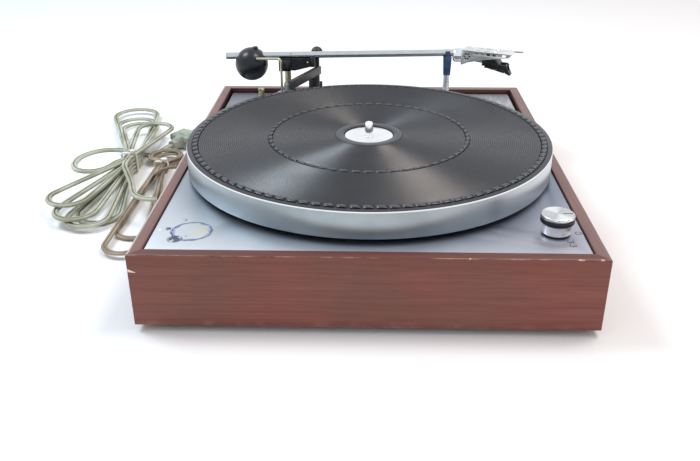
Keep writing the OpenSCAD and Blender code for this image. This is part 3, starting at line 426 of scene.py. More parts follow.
# The groove's paint: the flex's mottle in darker tones, as painted shade in the crease between the
# cores.
groove_painted_shade = material("groove_painted_shade", flex_paint("6a6656", "55503f"))
mains_laid = lay_flex("mains", MAINS_LEAD, hank(MAINS_LOOPS, MAINS_FALL, *MAINS_WAIST),
                      MAINS_TAIL, *MAINS_SIZE, ("bcc1b0", "94967f"))
signal_laid = lay_flex("signal", SIGNAL_LEAD, hank(SIGNAL_LOOPS, SIGNAL_FALL, *SIGNAL_WAIST),
                       SIGNAL_TAIL, *SIGNAL_SIZE, ("a89a86", "7d6c59"))


# The strain reliefs: soft moulded sleeves, tapered and ribbed, each with a collar that holds
# it in the rear board. They are pressed into the board from inside before the flex goes in.
GLAND_Z, GLAND_R, GLAND_OUT = 25, 5, 22
RIBS, RIB_PITCH, RIB_LONG, RIB_DEEP = 5, 3.4, 2.2, 0.7
GLANDS = {"mains_gland": (-30, 3.6), "signal_gland": (44, 3.2)}


def turned(profile, sides=48):
    """A solid turned round Z from points of radius and height, given from one end to the other."""
    shape = bmesh.new()
    rows = []
    for radius, z in profile:
        if radius < 1e-6:
            rows.append([shape.verts.new((0, 0, z))])
        else:
            rows.append([shape.verts.new((x, y, z)) for x, y in circle(radius, sides)])
    for below, above in zip(rows, rows[1:]):
        for i in range(sides):
            j = (i + 1) % sides
            corners = [below[i % len(below)], below[j % len(below)],
                       above[j % len(above)], above[i % len(above)]]
            corners = list(dict.fromkeys(corners))
            if len(corners) > 2:
                shape.faces.new(corners)
    for row in (rows[0], rows[-1]):
        if len(row) > 1 and profile[0] != profile[-1]:
            shape.faces.new(row)
    bmesh.ops.remove_doubles(shape, verts=shape.verts, dist=1e-5)
    bmesh.ops.recalc_face_normals(shape, faces=shape.faces)
    return shape


def placed(shape, at=(0, 0, 0), axis="Y"):
    """The shape laid so that its own Z runs along X or Y, then moved."""
    lay = {"X": Matrix.Rotation(math.pi / 2, 4, "Y"), "Y": Matrix.Rotation(-math.pi / 2, 4, "X")}
    shape.transform(Matrix.Translation(at) @ lay[axis])
    return shape


def joined(*shapes):
    """Several shapes as one."""
    whole = shapes[0]
    for shape in shapes[1:]:
        spare = bpy.data.meshes.new("spare")
        shape.to_mesh(spare)
        shape.free()
        whole.from_mesh(spare)
        bpy.data.meshes.remove(spare)
    return whole


def soft_black(light, dark, rough=0.55):
    def paint(place):
        dust = place.noise(7, 4).step(0.4, 0.75)
        return {"Base Color": coats(dark, (dust, light)), "Roughness": dust * 0.15 + rough,
                "Height": place.noise(0.7) * 0.04}
    return paint


gland_rubber = material("gland_rubber", soft_black("4a4f45", "33372f"))
for name, (x, tip_r) in GLANDS.items():
    face, ribs = rear_face + 2, []
    for start in (3 + k * RIB_PITCH for k in range(RIBS)):
        wide, slim = (GLAND_R + (tip_r - GLAND_R) * (start + d) / (GLAND_OUT - 2)
                      for d in (0, RIB_LONG))
        ribs += [(wide, start), (slim, start + RIB_LONG), (slim - RIB_DEEP, start + 2.3),
                 (slim - RIB_DEEP, start + 3.3)]
    profile = [(0, -14), (GLAND_R + 1.9, -14), (GLAND_R + 2, -11), (GLAND_R, -11), (GLAND_R, -2),
               (GLAND_R + 1.7, -2), (GLAND_R + 2, -1.7), (GLAND_R + 2, -0.4), (GLAND_R + 1.6, 0),
               (GLAND_R, 0), (GLAND_R, 3), *ribs, (tip_r, GLAND_OUT - 2.3),
               (tip_r - 0.3, GLAND_OUT - 2), (0, GLAND_OUT - 2)]
    piece(name, gland_rubber, placed(turned(profile), (x, face, GLAND_Z)))


# The plugs: a mains plug of two moulded halves with a waist for the fingers and two round pins,
# and a pair of small round signal plugs that share one moulded splitter on the flat flex.
PLUG_AT, PLUG_TURN = (147, 53, 8), -30
SPLIT_AT = (109, 12, 4.5)
# How far the pins of each plug stand to either side of its middle
PIN_Y, BARREL_Y = 9.5, 4.6


def boxed(low, high, edge=0.3, steps=2):
    """A block from one corner to the other, with its edges taken off."""
    shape = bmesh.new()
    bmesh.ops.create_cube(shape, size=1)
    size = [b - a for a, b in zip(low, high)]
    bmesh.ops.scale(shape, vec=size, verts=shape.verts)
    bmesh.ops.translate(shape, vec=[(a + b) / 2 for a, b in zip(low, high)], verts=shape.verts)
    if edge:
        bmesh.ops.bevel(shape, geom=shape.edges, offset=edge, segments=steps, profile=0.5,
                        affect="EDGES")
    return shape


def rod(radius, start, end, edge=0.2, sides=32):
    """A straight round rod from one point to another, with its end edges taken off."""
    run = Vector(end) - Vector(start)
    long = run.length
    shape = turned([(0, 0), (radius - edge, 0), (radius, edge), (radius, long - edge),
                    (radius - edge, long), (0, long)], sides)
    shape.transform(Matrix.Translation(start) @ run.to_track_quat("Z", "Y").to_matrix().to_4x4())
    return shape


def moved(shape, x=0, y=0, z=0, turn=0):
    """The shape turned round Z, then moved."""
    shape.transform(Matrix.Translation((x, y, z)) @ Matrix.Rotation(math.radians(turn), 4, "Z"))
    return shape


def plug_paint(place):
    soil = place.noise(9, 4).step(0.42, 0.7)
    return {"Base Color": coats("a3aea0", (soil, "7b8475")), "Roughness": soil * 0.2 + 0.35,
            "Height": place.noise(0.8) * 0.03}


def mottled(light, dark, size, detail, edges, rough, wear=(), bump=(), more=()):
    """Two close tones in soft patches. wear and bump are each a grain and an amount."""
    def paint(place):
        return {"Base Color": coats(light, (place.noise(size, detail).step(*edges), dark)),
                "Roughness": place.noise(wear[0]) * wear[1] + rough if wear else rough,
                **({"Height": place.noise(bump[0]) * bump[1]} if bump else {}), **dict(more)}
    return paint


def metal(light, dark, rough, grain=3.0, wear=0.12):
    """Metal of two close tones with a finely uneven gloss."""
    return mottled(light, dark, grain * 6, 4, (0.35, 0.7), rough, (grain, wear),
                   (grain / 6, 0.006), {"Metallic": 1.0})


plug_body = material("plug_plastic", plug_paint)
pin_metal = material("plug_pins", metal("c9c2a8", "a79f86", 0.22))
x, y, z = PLUG_AT
nose = placed(turned([(0, 0), (4.0, 0), (4.4, 0.3), (5.0, 6), (6.2, 10), (7.0, 12.5), (0, 12.5)],
                     32), axis="X")
halves = [boxed((12, -13, low), (35, 13, low + 6.9), 1.6, 4) for low in (-6.95, 0.05)]
grips = [boxed((15 + 4 * k, side * 13 - 0.4, -4.5), (17 + 4 * k, side * 13 + 0.4, 4.5), 0.35)
         for k in range(4) for side in (-1, 1)]
for grip in grips:
    grip.transform(Matrix.Scale(0.985, 4, (0, 1, 0)))
screw = moved(turned([(0, 0), (2.6, 0), (2.9, 0.2), (2.9, 1.0), (0, 1.0)]), 21, 0, 6.0)
body = joined(nose, *halves, *grips, screw)
plug = piece("mains_plug", plug_body, moved(body, x, rear_face + y, z, PLUG_TURN))
pins = joined(*[joined(rod(2, (34, y, 0), (54, y, 0), 0.9), rod(2.2, (34, y, 0), (36, y, 0)))
                for y in (-PIN_Y, PIN_Y)])
pins = piece("plug_pins", pin_metal, moved(pins, x, rear_face + y, z, PLUG_TURN), "mains_plug")
declare_flex(mains_laid, plug, pins)

x, y, z = SPLIT_AT
splitter = boxed((0, -4, -2.5), (9, 4, 2.5), 0.9, 3)
barrels, shells = [], []
place_at = (x, rear_face + y, z, 180)
for side, low in ((-BARREL_Y, -6.2), (BARREL_Y, 2.4)):
    barrels += [boxed((8, low, -1.5), (10, low + 3.8, 1.5), 0.4),
                rod(2, (9, side, 0), (16, side, 0)),
                *[rod(2.3, (10.6 + 1.6 * k, side, 0), (11.4 + 1.6 * k, side, 0))
                  for k in range(3)]]
    shells += [rod(4, (16, side, 0), (30, side, 0), 0.5),
               rod(1.6, (29, side, 0), (38, side, 0), 0.7)]
plug = piece("phono_plugs", material("plug_black", soft_black("3a3733", "262422", 0.4)),
             moved(joined(splitter, *barrels), *place_at))
pins = piece("phono_shells", pin_metal, moved(joined(*shells), *place_at), "phono_plugs")
declare_flex(signal_laid, plug, pins)


# The ties: a thin white strap pulled tight round the waist of each hank, with its lock and a
# short clipped tongue on one side.
TIE_SLACK, TIE_CORNER = 0.6, 1.6
# The band's section: along the flex, then out from it, with thin lips at both edges
TIE_SECTION = [(-1.5, 0.25), (-1.25, 0), (1.25, 0), (1.5, 0.25), (1.5, 0.95), (1.25, 1.2),
               (-1.25, 1.2), (-1.5, 0.95)]
tie_white = material("tie_white", mottled("f0eee6", "d6d2c4", 5, 3, (0.4, 0.7), 0.4,
                                          bump=(0.5, 0.02), more={"Subsurface Weight": 0.05}))


def strap(loops, width, thick, waist, half, floor_z, step):
    """A rounded band round all the strands at a waist, with its lock on one side."""
    side = half + width / 2 + TIE_SLACK
    low = floor_z + step / 2 - thick / 2 - TIE_SLACK
    high = floor_z + step * loops + step / 2 + thick / 2 + TIE_SLACK
    rings, reach, top, bottom = [], side - TIE_CORNER, high - TIE_CORNER, low + TIE_CORNER
    for y, z, start in ((reach, top, 0), (-reach, top, 90), (-reach, bottom, 180),
                        (reach, bottom, 270)):
        bows = [arc(y, z, (TIE_CORNER + r, TIE_CORNER + r), start, 18, 6) for _, r in TIE_SECTION]
        rings += [[(dx, *bow[k]) for (dx, _), bow in zip(TIE_SECTION, bows)] for k in range(6)]
    lock = boxed((-2.5, -side, high + 0.4), (2.5, -side + 5, high + 4.2), 0.5, 3)
    tongue = boxed((-1.4, -side - 0.2, high + 3.4), (1.4, -side + 6.4, high + 4.1), 0.25)
    return moved(joined(rings_to_shape(rings, closed=True), lock, tongue),
                 waist[0], rear_face + waist[1])


piece("cord_ties", tie_white, joined(strap(len(MAINS_LOOPS), *MAINS_SIZE, *MAINS_WAIST),
                                     strap(len(SIGNAL_LOOPS), *SIGNAL_SIZE, *SIGNAL_WAIST)))


# The plinth: four mitred boards of plywood under red-brown veneer. The veneer is thin and has
# worn pale along the outer top edges, where a few chips show. It is finished in a satin lacquer.
HALF_X, HALF_Y = 195, 160
# Along the near board: middle and half length of each chip, and where a splinter broke away
EDGE_CHIPS = [(-139.9, 2.0), (-153.7, 1.3), (-67.4, 0.8)]
SPLINTER = (157.1, 47.3)


def mitred(half, reach):
    """A board along X whose outer face is at Y = -reach."""
    section = [(0.5, 5), (8.6, 5), (9, 5.4), (9, 59.5), (8.5, 60), (0.9, 60), (0.25, 59.7),
               (0, 59.1), (0, 5.5)]
    return rings_to_shape([[(side * (half - d), d - reach, z) for d, z in section]
                           for side in (-1, 1)])


def veneer(along_y):
    """Veneer with its grain along the boards at the sides, or else along those at the ends."""
    def grain(along, up):
        return (1, along, up) if along_y else (along, 1, up)

    def paint(place):
        x, y, z = (place.along(k) for k in range(3))
        wide = place.noise(9, 4, 0.55, grain(21, 0.49)).step(0.3, 0.72)
        fine = place.noise(0.9, 4, 0.6, grain(60, 1.4)).step(0.36, 0.7)
        pores = place.noise(0.5, 2, 0.5, grain(24, 0.56)).step(0.6, 0.74)
        patch = place.noise(70, 2).step(0.35, 0.7)
        mottle = place.noise(22, 3, 0.6, grain(2.2, 2.2)).step(0.36, 0.66)
        across, face = (x, HALF_X * MM) if along_y else (y, HALF_Y * MM)
        depth = face - across.math("ABSOLUTE")
        # The top faces are painted darker as painted light and shade: deep red on the near board,
        # greyer on the others.
        top = z.step(59.0 * MM, 59.7 * MM)
        # The inner faces are painted dark: painted shade inside the plinth.
        inner = depth.step(8.2 * MM, 8.7 * MM)
        near = (across < 0) * (1 if along_y else 0)
        out = depth.step(0.9 * MM, 0.4 * MM)
        worn = out * z.step(59.1 * MM, 59.6 * MM) * place.noise(30, 4, 0.6).step(0.4, 0.64)
        rub = z.step(12 * MM, 5 * MM) * place.noise(14, 3).step(0.45, 0.7) * 0.35
        colour = coats("7c3b30", (wide, "87493a"), (mottle * 0.6, "75483a"),
                       (patch * 0.5, "6f4136"), (fine * 0.35, "5c2b25"), (pores * 0.3, "43201c"),
                       (top * (near * 0.25 + 0.5), near.tint(tone("6c5653"), tone("501d16"))),
                       (inner * 0.7, "33221c"), (rub, "9a7264"), (worn * 0.6, "c29a88"))
        if along_y:
            ragged = place.noise(2.2, 2) * 2.4 * MM - 1.2 * MM
            for middle, reach in EDGE_CHIPS:
                chip = (y - middle * MM + ragged).math("ABSOLUTE")
                chip = chip.step(reach * MM, (reach - 0.4) * MM)
                chip = chip * near * (depth + ragged < 0.9 * MM) * (z > 59.2 * MM)
                colour = (chip * 0.85).tint(colour, tone("d9ae93"))
            (cy, cz), slope = SPLINTER, 0.3
            sliver = (z - (y - cy * MM) * slope - cz * MM).math("ABSOLUTE")
            sliver = sliver < (y - cy * MM + 3.2 * MM) * 0.2
            sliver = sliver * (y - cy * MM).math("ABSOLUTE").step(2.8 * MM, 2.4 * MM) * near
            colour = (sliver * (depth < 0.6 * MM)).tint(colour, tone("ecdfd2"))
        else:
            # A pale line painted along the rear board's outer top edge: a painted highlight where
            # the edge catches the bright surroundings.
            rim = depth.step(1.9 * MM, 1.2 * MM) * top * (across > 0)
            colour = (rim * 0.6).tint(colour, tone("d8d2cf"))
        return {"Base Color": colour, "Roughness": fine * 0.12 + pores * 0.1 + 0.36,
                "Coat Weight": 0.12, "Coat Roughness": 0.25,
                "Height": fine * -0.02 + pores * -0.05}
    return paint


side_veneer = material("veneer_along_sides", veneer(True))
end_veneer = material("veneer_along_ends", veneer(False))
for name, half, reach, turn, finish in (
        ("front_board", HALF_X, HALF_Y, 0, end_veneer),
        ("rear_board", HALF_X, HALF_Y, 180, end_veneer),
        ("side_board_left", HALF_Y, HALF_X, -90, side_veneer),
        ("side_board_right", HALF_Y, HALF_X, 90, side_veneer)):
    piece(name, finish, moved(mitred(half, reach), turn=turn), crease=25)


# The hanger springs: three coils of zinc-plated wire that carry the sub-chassis on its bolts.
# Each is wound as one helix. The real coils shorten as the sub-chassis sinks; these stay as wound.
HANGERS = [(-120, -30), (70, 115), (70, -115)]
SPRING_R, WIRE_R, SPRING_TURNS, SPRING_LOW, SPRING_HIGH = 8, 0.8, 5, 16.8, 34.9
TURN_STEPS = 24
zinc = material("zinc_steel", metal("b8bcbe", "8e9294", 0.3))
steps = TURN_STEPS * SPRING_TURNS
coils = []
for x, y in HANGERS:
    helix = [Vector((*at, SPRING_LOW + (SPRING_HIGH - SPRING_LOW) * k / steps)) for k, at in
             enumerate(arc(x, y, (SPRING_R, SPRING_R), 0, 360 / TURN_STEPS, steps + 1))]
    coils.append(swept(helix, circle(WIRE_R, 8)))
springs = piece("coil_springs", zinc, joined(*coils), "hanger_springs",
                bend=(home["hanger_springs"], home["subchassis"], (0, 0, SPRING_LOW * MM),
                      (0, 0, SPRING_HIGH * MM)))
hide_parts("hanger_springs")


# Under the plinth: softwood corner blocks and battens glued inside it, a hardboard base panel
# let in between the boards, four round rubber feet, and the zinc-plated screws that hold them.
# Two more screws hold the motor by its ears.
FOOT_AT, SCREW_AT, MOTOR = (163, 128), (177, 142), (-115, 70)
EAR_REACH, EAR_TURN = 36, 27


def wood(light, dark, size, run, rough=0.75):
    def paint(place):
        grain = place.noise(size, 4, 0.6, run).step(0.35, 0.7)
        return {"Base Color": coats(light, (grain, dark)), "Roughness": rough,
                "Height": grain * 0.06}
    return paint


def beside(middle, x, y, turn):
    """A point that far from a middle, turned round it."""
    return Vector((*middle, 0)) + Matrix.Rotation(math.radians(turn), 3, "Z") @ Vector((x, y, 0))


def finished(finish, *nodes):
    """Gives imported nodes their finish."""
    for name in nodes:
        for slot in frame["nodes"][name].material_slots:
            slot.material = finish


softwood = material("softwood", wood("c9a172", "a87c4e", 1.6, (30, 1, 1)))
hardboard = material("hardboard", wood("8d6b49", "6e5138", 1.2, (1, 1, 1), 0.8))
rubber = material("foot_rubber", soft_black("2e2e2d", "1a1a1a"))
finished(softwood, "frame_blocks")
finished(hardboard, "base_panel")
finished(zinc, "subchassis")

screws, feet = [], []
for sx, sy in ((-1, -1), (-1, 1), (1, -1), (1, 1)):
    head = turned([(0, 5.2), (1.2, 5.2), (2.2, 5.35), (3, 5.9), (3, 6), (1.5, 6.4), (1.5, 20.8),
                   (0.6, 21), (0, 21)], 32)
    slot = boxed((-2.6, -0.35, 5.15), (2.6, 0.35, 5.5), 0.05, 1)
    screws.append(moved(joined(head, slot), sx * SCREW_AT[0], sy * SCREW_AT[1], 0,
                        40 * sx + 20 * sy))
    foot = turned([(0, 0.8), (4, 0.8), (4.6, 0), (9.2, 0), (10, 0.8), (10, 1.8), (9.5, 2.2),
                   (9.5, 4.9), (10, 5.3), (10, 6), (0, 6)])
    feet.append(moved(foot, sx * FOOT_AT[0], sy * FOOT_AT[1]))
for side in (-1, 1):
    screw = turned([(0, 52), (1.5, 52), (1.5, 58.5), (3, 58.5), (3, 59.3), (2.2, 59.85), (0, 59.9)],
                   32)
    screws.append(moved(screw, *beside(MOTOR, EAR_REACH * side, 0, EAR_TURN)))
piece("plinth_screws", zinc, joined(*screws))
piece("feet", rubber, joined(*feet))


# The top plate: a sheet of brushed aluminium let in a little below the boards' edges, with the
# printed numbers of the speeds round the knob, an old stain and a pale speck.
PLATE_LOW, PLATE_HIGH = 57, 58.5
PLATE_CORNERS = (-185.5, -150.5), (89.5, 150.5)
PLATTER_X = -23.6
KNOB = (-153.3, -131.6)
RING_STAIN, PALE_SPECK = (-156.5, 123.6), (-154.3, 146.9)
# Dark blots of the same old spill: where each lies, and how far it reaches
BLOTS = [((-168.5, 133), 6, 4.4), ((-138.5, 132.5), 2.6, 1.6), ((-153, 141), 2.8, 1.8),
         ((-164, 126), 1.2, 0.2)]


def sheet_shape(outline, holes, low, high, edge):
    """A flat plate with holes, its rims a little rounded."""
    curve = bpy.data.curves.new("sheet", "CURVE")
    curve.dimensions, curve.fill_mode = "2D", "BOTH"
    curve.extrude, curve.bevel_depth = (high - low) / 2 - edge, edge
    curve.offset, curve.bevel_resolution = -edge, 1
    for points in (outline, *holes):
        line = curve.splines.new("POLY")
        line.points.add(len(points) - 1)
        line.use_cyclic_u = True
        for point, (x, y) in zip(line.points, points):
            point.co = (x, y, 0, 1)
    holder = bpy.data.objects.new("sheet", curve)
    flat = bpy.data.meshes.new_from_object(holder)
    shape = bmesh.new()
    shape.from_mesh(flat)
    bmesh.ops.remove_doubles(shape, verts=shape.verts, dist=1e-4)
    bmesh.ops.translate(shape, vec=(0, 0, (low + high) / 2), verts=shape.verts)
    bpy.data.objects.remove(holder)
    bpy.data.curves.remove(curve)
    bpy.data.meshes.remove(flat)
    return shape


def box_outline(low, high, corner=1.0):
    """The outline of a rectangle with round corners."""
    (x0, y0), (x1, y1) = low, high
    points = []
    for x, y, start in ((x1, y1, 0), (x0, y1, 90), (x0, y0, 180), (x1, y0, 270)):
        cx, cy = x + (-corner if x == x1 else corner), y + (-corner if y == y1 else corner)
        points += arc(cx, cy, (corner, corner), start, 22.5, 5)
    return points


def from_point(place, at):
    """The distance of a place from a point, in millimetres and seen from above."""
    away = place.add("VectorMath", {"operation": "SUBTRACT"},
                     {0: place, 1: (at[0] * MM, at[1] * MM, 0)})
    flat = away.add("VectorMath", {"operation": "MULTIPLY"}, {0: away, 1: (1 / MM, 1 / MM, 0.0)})
    return flat.add("VectorMath", {"operation": "LENGTH"}, {0: flat}, "Value")


def plate_paint(place):
    brushed = place.noise(0.35, 3, 0.6, (1, 40, 1))
    x, y = (place.along(k) for k in (0, 1))
    cloud = place.noise(60, 3).step(0.3, 0.75)
    stain = from_point(place, RING_STAIN) + place.noise(5, 3) * 4 - 2
    residue = stain.step(11.8, 12.6) * stain.step(15.2, 14.2)
    edge = residue * stain.step(13.3, 13.9) * place.noise(5, 3).step(0.36, 0.46)
    spots = [from_point(place, spot).step(*reach) for spot, *reach in BLOTS]
    blots = spots[0]
    for spot in spots[1:]:
        blots = blots.math("MAXIMUM", spot)
    blots = blots * place.noise(3, 3).step(0.36, 0.44)
    inside = stain.step(12.4, 11.4) * y.step(128 * MM, 112 * MM)
    # Painted shade: the plate is painted darker within about 30 mm of the platter's edge and under
    # it.
    painted_shade = from_point(place, (PLATTER_X, 0)).step(182, 151) * 0.45
    # Painted shade: the plate is painted darker towards -Y and lighter towards +Y.
    colour = coats("a6a7b0", (y.step(-0.13, 0.12), "c9ced3"), (cloud * 0.25, "a7b1bd"),
                   # A pale line painted along the plate's near edge at X = -185 is a painted
                   # highlight.
                   (painted_shade, "69768a"), (x.step(-184.7 * MM, -185.1 * MM) * 0.8, "fbf1f2"),
                   (inside * 0.3, "e8e2b8"), (residue * 0.9, "8594b4"),
                   (edge.math("MAXIMUM", blots) * 0.9, "34364c"),
                   (from_point(place, PALE_SPECK).step(1.5, 0.8), "fafafa"))
    return {"Base Color": colour, "Metallic": 1 - residue.math("MAXIMUM", blots) * 0.8,
            "Roughness": brushed * 0.12 + residue * 0.25 + 0.34, "Height": brushed * 0.006}


plate_metal = material("plate_metal", plate_paint)
holes = [circle(18, 48, (PLATTER_X, 0)), circle(5.5, 48, MOTOR), circle(5, 48, KNOB),
         *[circle(2.5, 24, spot) for spot in HANGERS]]
piece("top_plate", plate_metal,
      sheet_shape(box_outline(*PLATE_CORNERS), holes, PLATE_LOW, PLATE_HIGH, 0.2))

bolts = []
for x, y in HANGERS:
    bolts.append(moved(joined(
        turned([(0, 12), (2.1, 12), (2.5, 12.5), (2.5, 58.5), (5, 58.5), (5, 58.8), (4.6, 59.2),
                (0, 59.2)]),
        boxed((-4.6, -0.4, 59.0), (4.6, 0.4, 59.25), 0.05, 1),
        turned([(2.5, 15), (10.3, 15), (10.5, 15.2), (10.5, 15.8), (10.3, 16), (2.5, 16)]),
        turned([(2.5, 12), (4.6, 12), (5, 12.3), (5, 14.7), (4.6, 15), (2.5, 15)], 6)), x, y))
piece("hanger_bolts", zinc, joined(*bolts))


# The numbers printed on the plate round the speed knob: off and the two speeds. They stand
# upright for someone in front of the deck.
DIGIT_HIGH, DIGIT_WIDE, DIGIT_STEP, STROKE, INK = 4.0, 3.9, 5.6, 0.62, 0.03
DIGITS = {"0": [arc(0.5, 0.5, (0.5, 0.5), 0, 15, 25)],
          "3": [arc(0.5, 0.74, (0.42, 0.26), 150, -20, 13),
                arc(0.48, 0.28, (0.5, 0.28), 80, -20, 13)],
          "4": [[(0.78, 0), (0.78, 1), (0.02, 0.3), (1, 0.3)]],
          "5": [[(0.9, 1), (0.2, 1), (0.12, 0.55)], arc(0.45, 0.32, (0.5, 0.32), 125, -20, 15)]}
NUMBERS = [("0", (-153.5, -147.2), 180), ("33", (-169.3, -139.3), 186),
           ("45", (-137.3, -139.3), 174)]


def stroke(points, wide, low, high):
    """A flat line of print along a few points."""
    rings = []
    for i, (x, y) in enumerate(points):
        a, b = points[max(i - 1, 0)], points[min(i + 1, len(points) - 1)]
        ahead = Vector((b[0] - a[0], b[1] - a[1])).normalized() * wide / 2
        rings.append([(x - ahead.y, y + ahead.x, low), (x + ahead.y, y - ahead.x, low),
                      (x + ahead.y, y - ahead.x, high), (x - ahead.y, y + ahead.x, high)])
    return rings_to_shape(rings)


print_ink = material("print_ink", mottled("15181d", "41464c", 0.5, 2, (0.45, 0.7), 0.5))
marks = []
for word, middle, bearing in NUMBERS:
    for k, digit in enumerate(word):
        for line in DIGITS[digit]:
            points = [((px - 0.5) * DIGIT_WIDE, (py - 0.5) * DIGIT_HIGH) for px, py in line]
            shape = stroke(points, STROKE, PLATE_HIGH - 0.05, PLATE_HIGH + INK)
            along = (k - (len(word) - 1) / 2) * DIGIT_STEP
            marks.append(moved(moved(shape, x=along), *middle, 0, bearing))
piece("speed_numbers", print_ink, joined(*marks), "top_plate")


# The speed knob: a bright turned skirt, a black rubber band for the grip and a turned cap whose
# face was faced on a lathe, with an index groove. It stands on a black ring on the plate.
SKIRT_R, BAND_R, KNOB_Z, BAND_Z, CAP_Z, KNOB_TOP = 10.1, 11.75, 59.6, 67.5, 71.3, 73.7
KNURLS, KNURL_DEEP, CAP_RINGS, RING_WIDE = 72, 0.12, 20, 0.52
# The dashes printed round the cap: the bearing of each, and half its length
DASHES = [(134, 1.0), (178, 1.9), (205, 0.9), (232, 1.0)]
# The belt as it runs from pulley to platter, and the fork's post as it stands beside it
BELT_R, PULLEY_R, BELT_SPAN, BELT_BEARING = 80.7, 7.17, 115.125, -37.45
FORK_POST = (30, -23.17)
plastic_black = material("black_plastic", soft_black("30322f", "191b1d", 0.42))
mirror = material("bright_metal", mottled("ffffff", "f3f3f2", 5, 3, (0.4, 0.7), 0.2, (2, 0.04),
                                          more={"Metallic": 0.8}))


def spun_paint(place):
    """Metal faced on a lathe, with a bright fan painted across it as a highlight where its fine
    rings would catch the light.
    """
    x, y = (place.along(k) * (1 / MM) - KNOB[k] for k in (0, 1))
    across = (x * 0.95 + y * 0.3) / (from_point(place, KNOB) + 0.2)
    painted_fan_highlight = (across * across).step(0.35, 1.0)
    return {"Base Color": coats("cfcfcf", (painted_fan_highlight, "fcfcfb")), "Metallic": 1.0,
            "Roughness": place.noise(1, 3) * 0.1 + 0.2, "Height": place.noise(0.17) * 0.004}


spun = material("spun_metal", spun_paint)
band_rubber = material("band_rubber", soft_black("25262d", "15161c", 0.4))

lean = math.degrees(math.asin((BELT_R - PULLEY_R) / BELT_SPAN))
bush = joined(
    moved(turned([(3.05, 50), (4.9, 50), (5, 57), (5, 58.5), (9, 58.5), (9.2, 58.7), (9.2, 59.3),
                  (9, 59.5), (3.05, 59.5)]), *KNOB),
    moved(turned([(4.5, 54), (7, 54), (7, 57), (4.5, 57), (4.5, 54)]), *KNOB),
    moved(turned([(2.05, 52), (4, 52), (4, 58.5), (2.05, 58.5), (2.05, 52)], 32),
          *beside(MOTOR, *FORK_POST, BELT_BEARING - lean)))
piece("plate_bushes", plastic_black, bush)

skirt = turned([(0, 43), (5, 43), (5, 45.5), (3, 45.5), (3, KNOB_Z), (SKIRT_R - 0.5, KNOB_Z),
                (SKIRT_R, KNOB_Z + 0.5), (SKIRT_R, 66.6), (SKIRT_R - 0.4, 67),
                (SKIRT_R - 0.4, BAND_Z), (0, BAND_Z)], 96)
cam = boxed((-2, 3, 43), (2, 20, 45.5), 0.3)
piece("knob_skirt", mirror, moved(joined(skirt, cam), *KNOB))

rows = []
for z, inset in ((BAND_Z, 0.5), (BAND_Z + 0.3, 0.1), (BAND_Z + 0.6, 0), (CAP_Z - 0.6, 0),
                 (CAP_Z - 0.3, 0.1), (CAP_Z, 0.5)):
    ring = [(BAND_R - inset - KNURL_DEEP * (k % 2), math.pi * k / KNURLS)
            for k in range(2 * KNURLS)]
    rows.append([(r * math.cos(a), r * math.sin(a), z) for r, a in ring])
piece("knob_band", band_rubber, moved(rings_to_shape(rows), *KNOB), crease=50)

face = [(0, 73.62)]
for k in range(1, CAP_RINGS + 1):
    face += [(k * RING_WIDE - RING_WIDE / 2, 73.56), (k * RING_WIDE, 73.64)]
cap = turned([*face, (10.7, KNOB_TOP), (10.9, KNOB_TOP), (11.6, 73.0), (11.6, CAP_Z + 0.2),
              (11.4, CAP_Z), (0, CAP_Z)][::-1], 120)
index = boxed((-0.4, -10.25, 73.55), (0.4, -3.4, 73.68), 0.04, 1)
piece("knob_cap", spun, moved(cap, *KNOB), crease=60)
piece("knob_index", print_ink, moved(index, *KNOB), "knob_cap")
dashes = [moved(boxed((11.1, -reach, 72.9), (11.62, reach, 73.25), 0.1, 1), *KNOB, 0, bearing)
          for bearing, reach in DASHES]
piece("knob_dashes", print_ink, joined(*dashes), "knob_cap")


# The drive under the platter, mostly hidden: a synchronous motor hung from the plate, a stepped
# brass pulley, a ground rubber belt, the fork that moves it, and an off switch beside the knob.
motor_case = material("motor_case", metal("a2a5a6", "85898b", 0.36))
brass = material("brass_parts", metal("cfc7a8", "aca27e", 0.24, 3.0, 0.08))
cast = material("cast_metal", metal("b3b7b9", "979c9f", 0.32, 2.0, 0.16))
white_plastic = material("white_plastic", mottled("efefe9", "dedbcf", 8, 3, (0.4, 0.7), 0.35,
                                                  bump=(0.6, 0.02)))
finished(motor_case, "motor")
finished(brass, "motor_pulley")
finished(rubber, "drive_belt")
finished(plastic_black, "belt_fork")
finished(white_plastic, "power_switch")


# The platter: a heavy die-casting, turned all over, on a pressed inner platter that runs on a
# ground shaft in the sub-chassis bearing. The rim is fine-turned and shines in a soft band; a
# bright line along its top edge is a painted highlight, and it is painted lighter towards -Y.
RIM_LOW, RIM_TOP, PLATTER_R, WEB_LOW, MAT_LOW, MAT_TOP = 62, 82.7, 150, 77, 80, 84


def rim_paint(place):
    paint = metal("adb6b9", "a2abaf", 0.32, 4.0, 0.06)(place)
    # Painted highlight: a bright line along the rim's top edge.
    painted_rim_highlight = place.along(2).step((RIM_TOP - 1.1) * MM, (RIM_TOP - 0.8) * MM)
    # Painted light: the rim is painted lighter towards -Y.
    side = place.along(1).step(-0.15, -0.03)
    paint["Base Color"] = side.tint(tone("c9cfd3"), paint["Base Color"])
    paint["Base Color"] = painted_rim_highlight.tint(paint["Base Color"], tone("f8f8f6"))
    return paint


rim_metal = material("platter_metal", rim_paint)
finished(cast, "bearing_housing")

inner = turned([(5, 62), (13, 62), (13, 73), (76, 73), (76, 62.3), (76.3, 62), (79.6, 62),
                (80, 62.4), (80, 76.8), (79.8, 77), (4, 77), (4, 72), (5, 72), (5, 62)], 120)
piece("sub_platter", cast, moved(inner, PLATTER_X))

